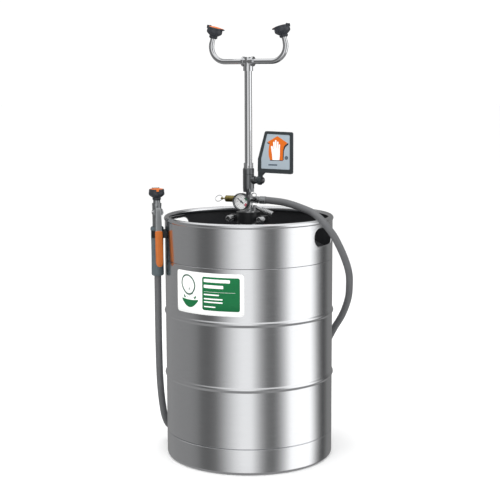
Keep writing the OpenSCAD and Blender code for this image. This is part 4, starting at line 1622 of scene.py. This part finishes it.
    def pictogram(self, shop: Workshop, place: Matrix, face: float) -> None:
        """Print a broad arrow with an open hand on it, a dot and a bar."""
        ink = 0.1 * MM
        side = [(104, 91.5), (100, 88), (95, 83), (92.5, 74), (92, 62), (92, 50)]
        other = [(58, 50), (55, 60), (54.5, 72), (56, 84), (57.5, 89), (52, 93)]
        arrow = Shape(place)
        arrow.prism(mm([(78, 107.5), *side, *other])[::-1], face, face + 0.12 * MM)
        shop.piece("flag_arrow", arrow, "flag", INK_ORANGE, "panel_print")
        shade = Shape(place)
        inset = [(93.8, 50), (94.4, 62), (95.0, 72.4), (98, 80), (102, 84.6), (106.6, 87.4)]
        foot = [(58, 48.4), (92, 48.4), (92, 50), (58, 50)]
        shoulder = [(50.6, 92.6), (51.2, 89.8), (57.6, 87.2), (57.5, 89.6), (53, 91.2)]
        for outline in ([(106, 91.8), *side[1:], *inset], foot, shoulder):
            shade.prism(mm(outline), face, face + ink)
        shop.piece("flag_arrow_shade", shade, "flag", INK_DARK, "panel_print")
        hand = Shape(place)
        top = face + 0.12 * MM
        palm = rounded(((65, 50), (83, 50), (84, 60), (84.5, 74), (81, 78), (68, 78), (63, 70)), 1.6)
        hand.prism(mm(palm), top, top + ink)
        fingers = (
            ((69.4, 74), (68.6, 94.0), 3.8), ((73.8, 74), (73.6, 98.0), 3.8), ((78.2, 74), (79.0, 94.5), 3.6),
            ((82.4, 72), (83.2, 88.0), 3.4), ((66.6, 60), (63.0, 83.6), 4.6),
        )
        for i, (base, tip, wide) in enumerate(fingers):
            self.finger(hand, base, tip, wide, top + 0.01 * (i + 1) * MM)
        shop.piece("flag_hand", hand, "flag", INK_WHITE, "panel_print")
        marks = Shape(place)
        bar = rounded(((54, 36.4), (77.5, 36.4), (77.5, 40), (54, 40)), 0.8)
        for outline in (arc((101.2, 55.9), 4.7, 0, 350, 35), bar):
            marks.prism(mm(outline), face, face + ink)
        shop.piece("flag_marks", marks, "flag", INK_GREY, "panel_print")

    @staticmethod
    def finger(shape: Shape, base: Point, tip: Point, wide: float, low: float) -> None:
        """Add a bar with a round tip, for a finger of the pictogram.

        Args:
            shape: The shape that it goes in.
            base: Its foot, in millimetres.
            tip: Its end, in millimetres.
            wide: Its width, in millimetres.
            low: Height of its underside, in metres.
        """
        a, b = Vector(base), Vector(tip)
        way = (b - a).normalized()
        turn = math.degrees(math.atan2(way.y, way.x))
        end = b - way * wide / 2
        outline = [Vector(p) for p in arc(end, wide / 2, turn - 90, turn + 90, 10)]
        side = Vector((-way.y, way.x)) * wide / 2
        outline += [a + side, a - side]
        shape.prism(mm(outline), low, low + 0.1 * MM)

    def build(self, shop: Workshop) -> None:
        """Make the valve and its flag."""
        self.body(shop)
        self.flag(shop)


# ---- Yoke and spray heads ------------------------------------------------------------------


class HeadPlace(Enum):
    """The three spray heads: name of the pieces, body, cover's body and joint, turn and lean."""

    RIGHT = ("right", "tank", "right_flap", "right_cover_flip", 0.0, 15.0)
    LEFT = ("left", "tank", "left_flap", "left_cover_flip", 180.0, 15.0)
    HANDSET = ("handset", "handset", "handset_flap", "handset_cover_flip", 90.0, 0.0)


@dataclass
class SprayHead:
    """Cup with a perforated screen and a flip cover."""

    where: HeadPlace
    top: float = 38.3 * MM
    hinge: tuple = (17.4 * MM, 0.0, 38.3 * MM)

    def place(self, shop: Workshop) -> Matrix:
        """Frame of the head, from its cover's hinge."""
        *_, joint, turn, lean = self.where.value
        base = shop.handset if self.where is HeadPlace.HANDSET else shop.fittings
        turned = base.to_3x3().to_4x4() @ Matrix.Rotation(math.radians(turn), 4, "Z")
        turned = turned @ Matrix.Rotation(math.radians(-lean), 4, "Y")
        return Matrix.Translation(shop.pivot(joint) - turned @ Vector(self.hinge)) @ turned

    def cup(self, shop: Workshop) -> None:
        """Make the cup with its collar, hinge lugs and finger rest."""
        name, body, *_ = self.where.value
        profile = [
            (6.15, 11), (8.2, 11), (8.7, 11.4), (10.4, 13.6), (10.5, 14.4), (10.3, 15.3), (9.7, 16.2),
            (9.7, 17.2), (17.2, 22.8), (18.5, 24.4), (18.95, 26), (19, 28.5), (18.75, 31.4),
            (18.35, 31.8), (18.35, 32.4), (18.6, 32.9), (17.9, 37.4), (17.5, 38.1), (16.9, 38.3),
            (16.2, 38.0), (16.2, 26.0), (4.5, 26.0), (4.5, 18.2), (6.15, 18.2),
        ]  # fmt: skip
        place = self.place(shop)
        shape = Shape(place)
        shape.turned(mm(profile), 72)
        x, _, z = self.hinge
        for y in (-6 * MM, 9 * MM):
            shape.place = placed(place, (x, y, z), 90, "X")
            lug = [*arc((0, 0), 1.9, 0, 180, 12), (-2.4, -6), (1.0, -6)]
            shape.prism(mm(lug), 0, 3 * MM)
        if self.where is not HeadPlace.HANDSET:
            shape.place = placed(place, (0, 0, 0), 90, "X")
            rest = [(-16.5, 32.5), (-16.5, 38.3), (-23.2, 38.2), (-23.9, 36.2), (-23.2, 35.2), (-20.6, 34.4)]
            shape.prism(mm(rest), -4.2 * MM, 4.2 * MM)
        shop.piece(f"{name}_cup", shape, body, SLATE_ABS, "slate_plastic", [f"{name}_head"], edge=0.3 * MM)
        shop.dress(SCREEN_PP, f"{name}_screen")

    def cover(self, shop: Workshop) -> None:
        """Make the flip cover with its finger tab and hinge knuckle."""
        name, _, body, *_ = self.where.value
        profile = [
            (0, 37.4), (13.4, 37.4), (13.4, 35.0), (15.0, 35.0), (15.0, 36.7), (15.7, 36.9),
            (15.8, 37.9), (15.6, 38.3), (14.8, 38.6), (11.0, 39.2), (6.0, 39.7), (0, 39.8),
        ]  # fmt: skip
        place = self.place(shop)
        shape = Shape(place)
        shape.turned(mm(profile), 64)
        reach = -22.6 * MM if self.where is HeadPlace.HANDSET else -21 * MM
        shape.block((reach, -3.0 * MM, 38.4 * MM), (-11 * MM, 3.0 * MM, 39.2 * MM))
        if self.where is HeadPlace.HANDSET:
            shape.block((-22.6 * MM, -3.0 * MM, 33.6 * MM), (-20.8 * MM, 3.0 * MM, 39.5 * MM))
        shape.block((14 * MM, -5.0 * MM, 37.7 * MM), (17.2 * MM, 5.0 * MM, 39.0 * MM), 1)
        x, _, z = self.hinge
        shape.place = placed(place, (x, 0, z), 90, "X")
        shape.turned(mm(((0.95, -5.5), (1.7, -5.5), (1.7, 5.5), (0.95, 5.5))), 24, 1)
        shop.piece(
            f"{name}_flip_cover", shape, body, [ORANGE_PP, SLATE_ABS], "orange_plastic",
            [f"{name}_cover"], edge=0.35 * MM,
        )

    def build(self, shop: Workshop) -> None:
        """Make the head."""
        self.cup(shop)
        self.cover(shop)


@dataclass
class Yoke:
    """Riser, tee and two bent arms."""

    def build(self, shop: Workshop) -> None:
        """Dress the tubes and make the two heads."""
        shop.dress(TUBE_STEEL, "riser_pipe", "left_arm", "right_arm", "yoke_tee", "riser_nut")
        shop.dress(SPRING, "cover_pins")
        SprayHead(HeadPlace.RIGHT).build(shop)
        SprayHead(HeadPlace.LEFT).build(shop)


# ---- Handset -------------------------------------------------------------------------------


@dataclass
class Handset:
    """Drench handset: head, valve body, squeeze lever, grip, and the bracket that holds it."""

    def lever(self, shop: Workshop) -> None:
        """Make the lever: a steel channel above, dipped in orange vinyl below."""
        shape = Shape(shop.handset)
        upper = [
            ((0, -20.6, 617.0), 5.0, 2.6), ((0, -21.4, 614.0), 6.6, 3.4), ((0, -21.2, 606.0), 7.0, 5.6),
            ((0, -23.4, 596.0), 7.3, 4.6), ((0, -25.6, 580.0), 7.8, 3.6), ((0, -28.6, 562.0), 8.3, 3.8),
            ((0, -29.2, 557.0), 8.4, 3.8),
        ]  # fmt: skip
        lower = [
            ((0, -28.6, 563.4), 4.6, 1.8), ((0, -28.8, 562.2), 7.6, 3.8), ((0, -29.2, 560.0), 8.8, 4.4),
            ((0, -31.4, 545.0), 9.0, 4.7), ((0, -34.6, 525.0), 9.2, 4.8), ((0, -37.8, 503.0), 9.3, 4.9),
            ((0, -39.4, 489.0), 9.1, 4.7), ((0, -40.1, 482.0), 8.0, 4.2),
            ((0, -40.5, 478.0), 5.6, 3.2), ((0, -40.6, 475.8), 2.2, 1.4),
        ]  # fmt: skip
        for sections, power, paint in ((upper, 5.0, 0), (lower, 3.0, 1)):
            scaled = [(Vector(c) * MM, w * MM, d * MM) for c, w, d in sections]
            shape.loft(scaled[::-1], power, 36, paint)
        shop.piece(
            "squeeze_lever", shape, "lever", [CAST_ZINC, ORANGE_DIP], "lever_orange",
            ["handset_lever"], crease=60,
        )

    def grip(self, shop: Workshop) -> None:
        """Make the grip with its collar, a shallow waist and finger rings."""
        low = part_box("handset_grip")[0].z / MM
        profile = [(4.6, low), (10.4, low), (12.6, low + 0.6), (14.2, low + 1.8), (15.0, low + 4.2)]
        profile += [(15.0 - 0.35 * math.sin(math.pi * k / 10) ** 2, low + 8 + 9.6 * k) for k in range(11)]
        profile += [(15.0, 560.0), (16.2, 560.5), (16.2, 565.0), (14.8, 568.8)]
        profile += [(13.1, 568.8), (13.1, 560.2), (4.6, 560.2)]
        shape = Shape(shop.handset)
        shape.turned(mm(profile), 72)
        shop.piece(
            "grip_sleeve", shape, "handset", GRIP_PP, "grip_plastic", ["handset_grip"], edge=0.2 * MM
        )

    def build(self, shop: Workshop) -> None:
        """Make and dress the handset and its bracket."""
        SprayHead(HeadPlace.HANDSET).build(shop)
        self.lever(shop)
        self.grip(shop)
        shop.dress(CAST_ZINC, "handset_body")
        shop.dress(TUBE_STEEL, "lever_pin", "handset_cover_pin", "bracket_screws")
        shop.dress(BRASS, "handset_plunger")
        low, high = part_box("handset_spring")
        seat = placed(shop.handset, (0, -11.2 * MM, (low.z + high.z) / 2), 90, "X")
        coil = Coil("handset_spring", 4.0 * MM, 0.5 * MM, 6 * MM, 4, 0.66)
        coil.build(shop, seat, "handset", "plunger_press")
        shop.dress(BLACK_NYLON, "bracket")


def main() -> None:
    """Build the station in order."""
    logging.basicConfig(level=logging.INFO, format="%(name)s: %(message)s")
    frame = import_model()
    shop = Workshop(frame)
    Studio().build()
    DrenchHose().build(shop)
    for part in (Tank(), Closure(), Manifold(), BallValve(), Yoke(), Handset()):
        part.build(shop)
    LOG.info("%d pieces made", shop.made)


if __name__ == "__main__":
    main()
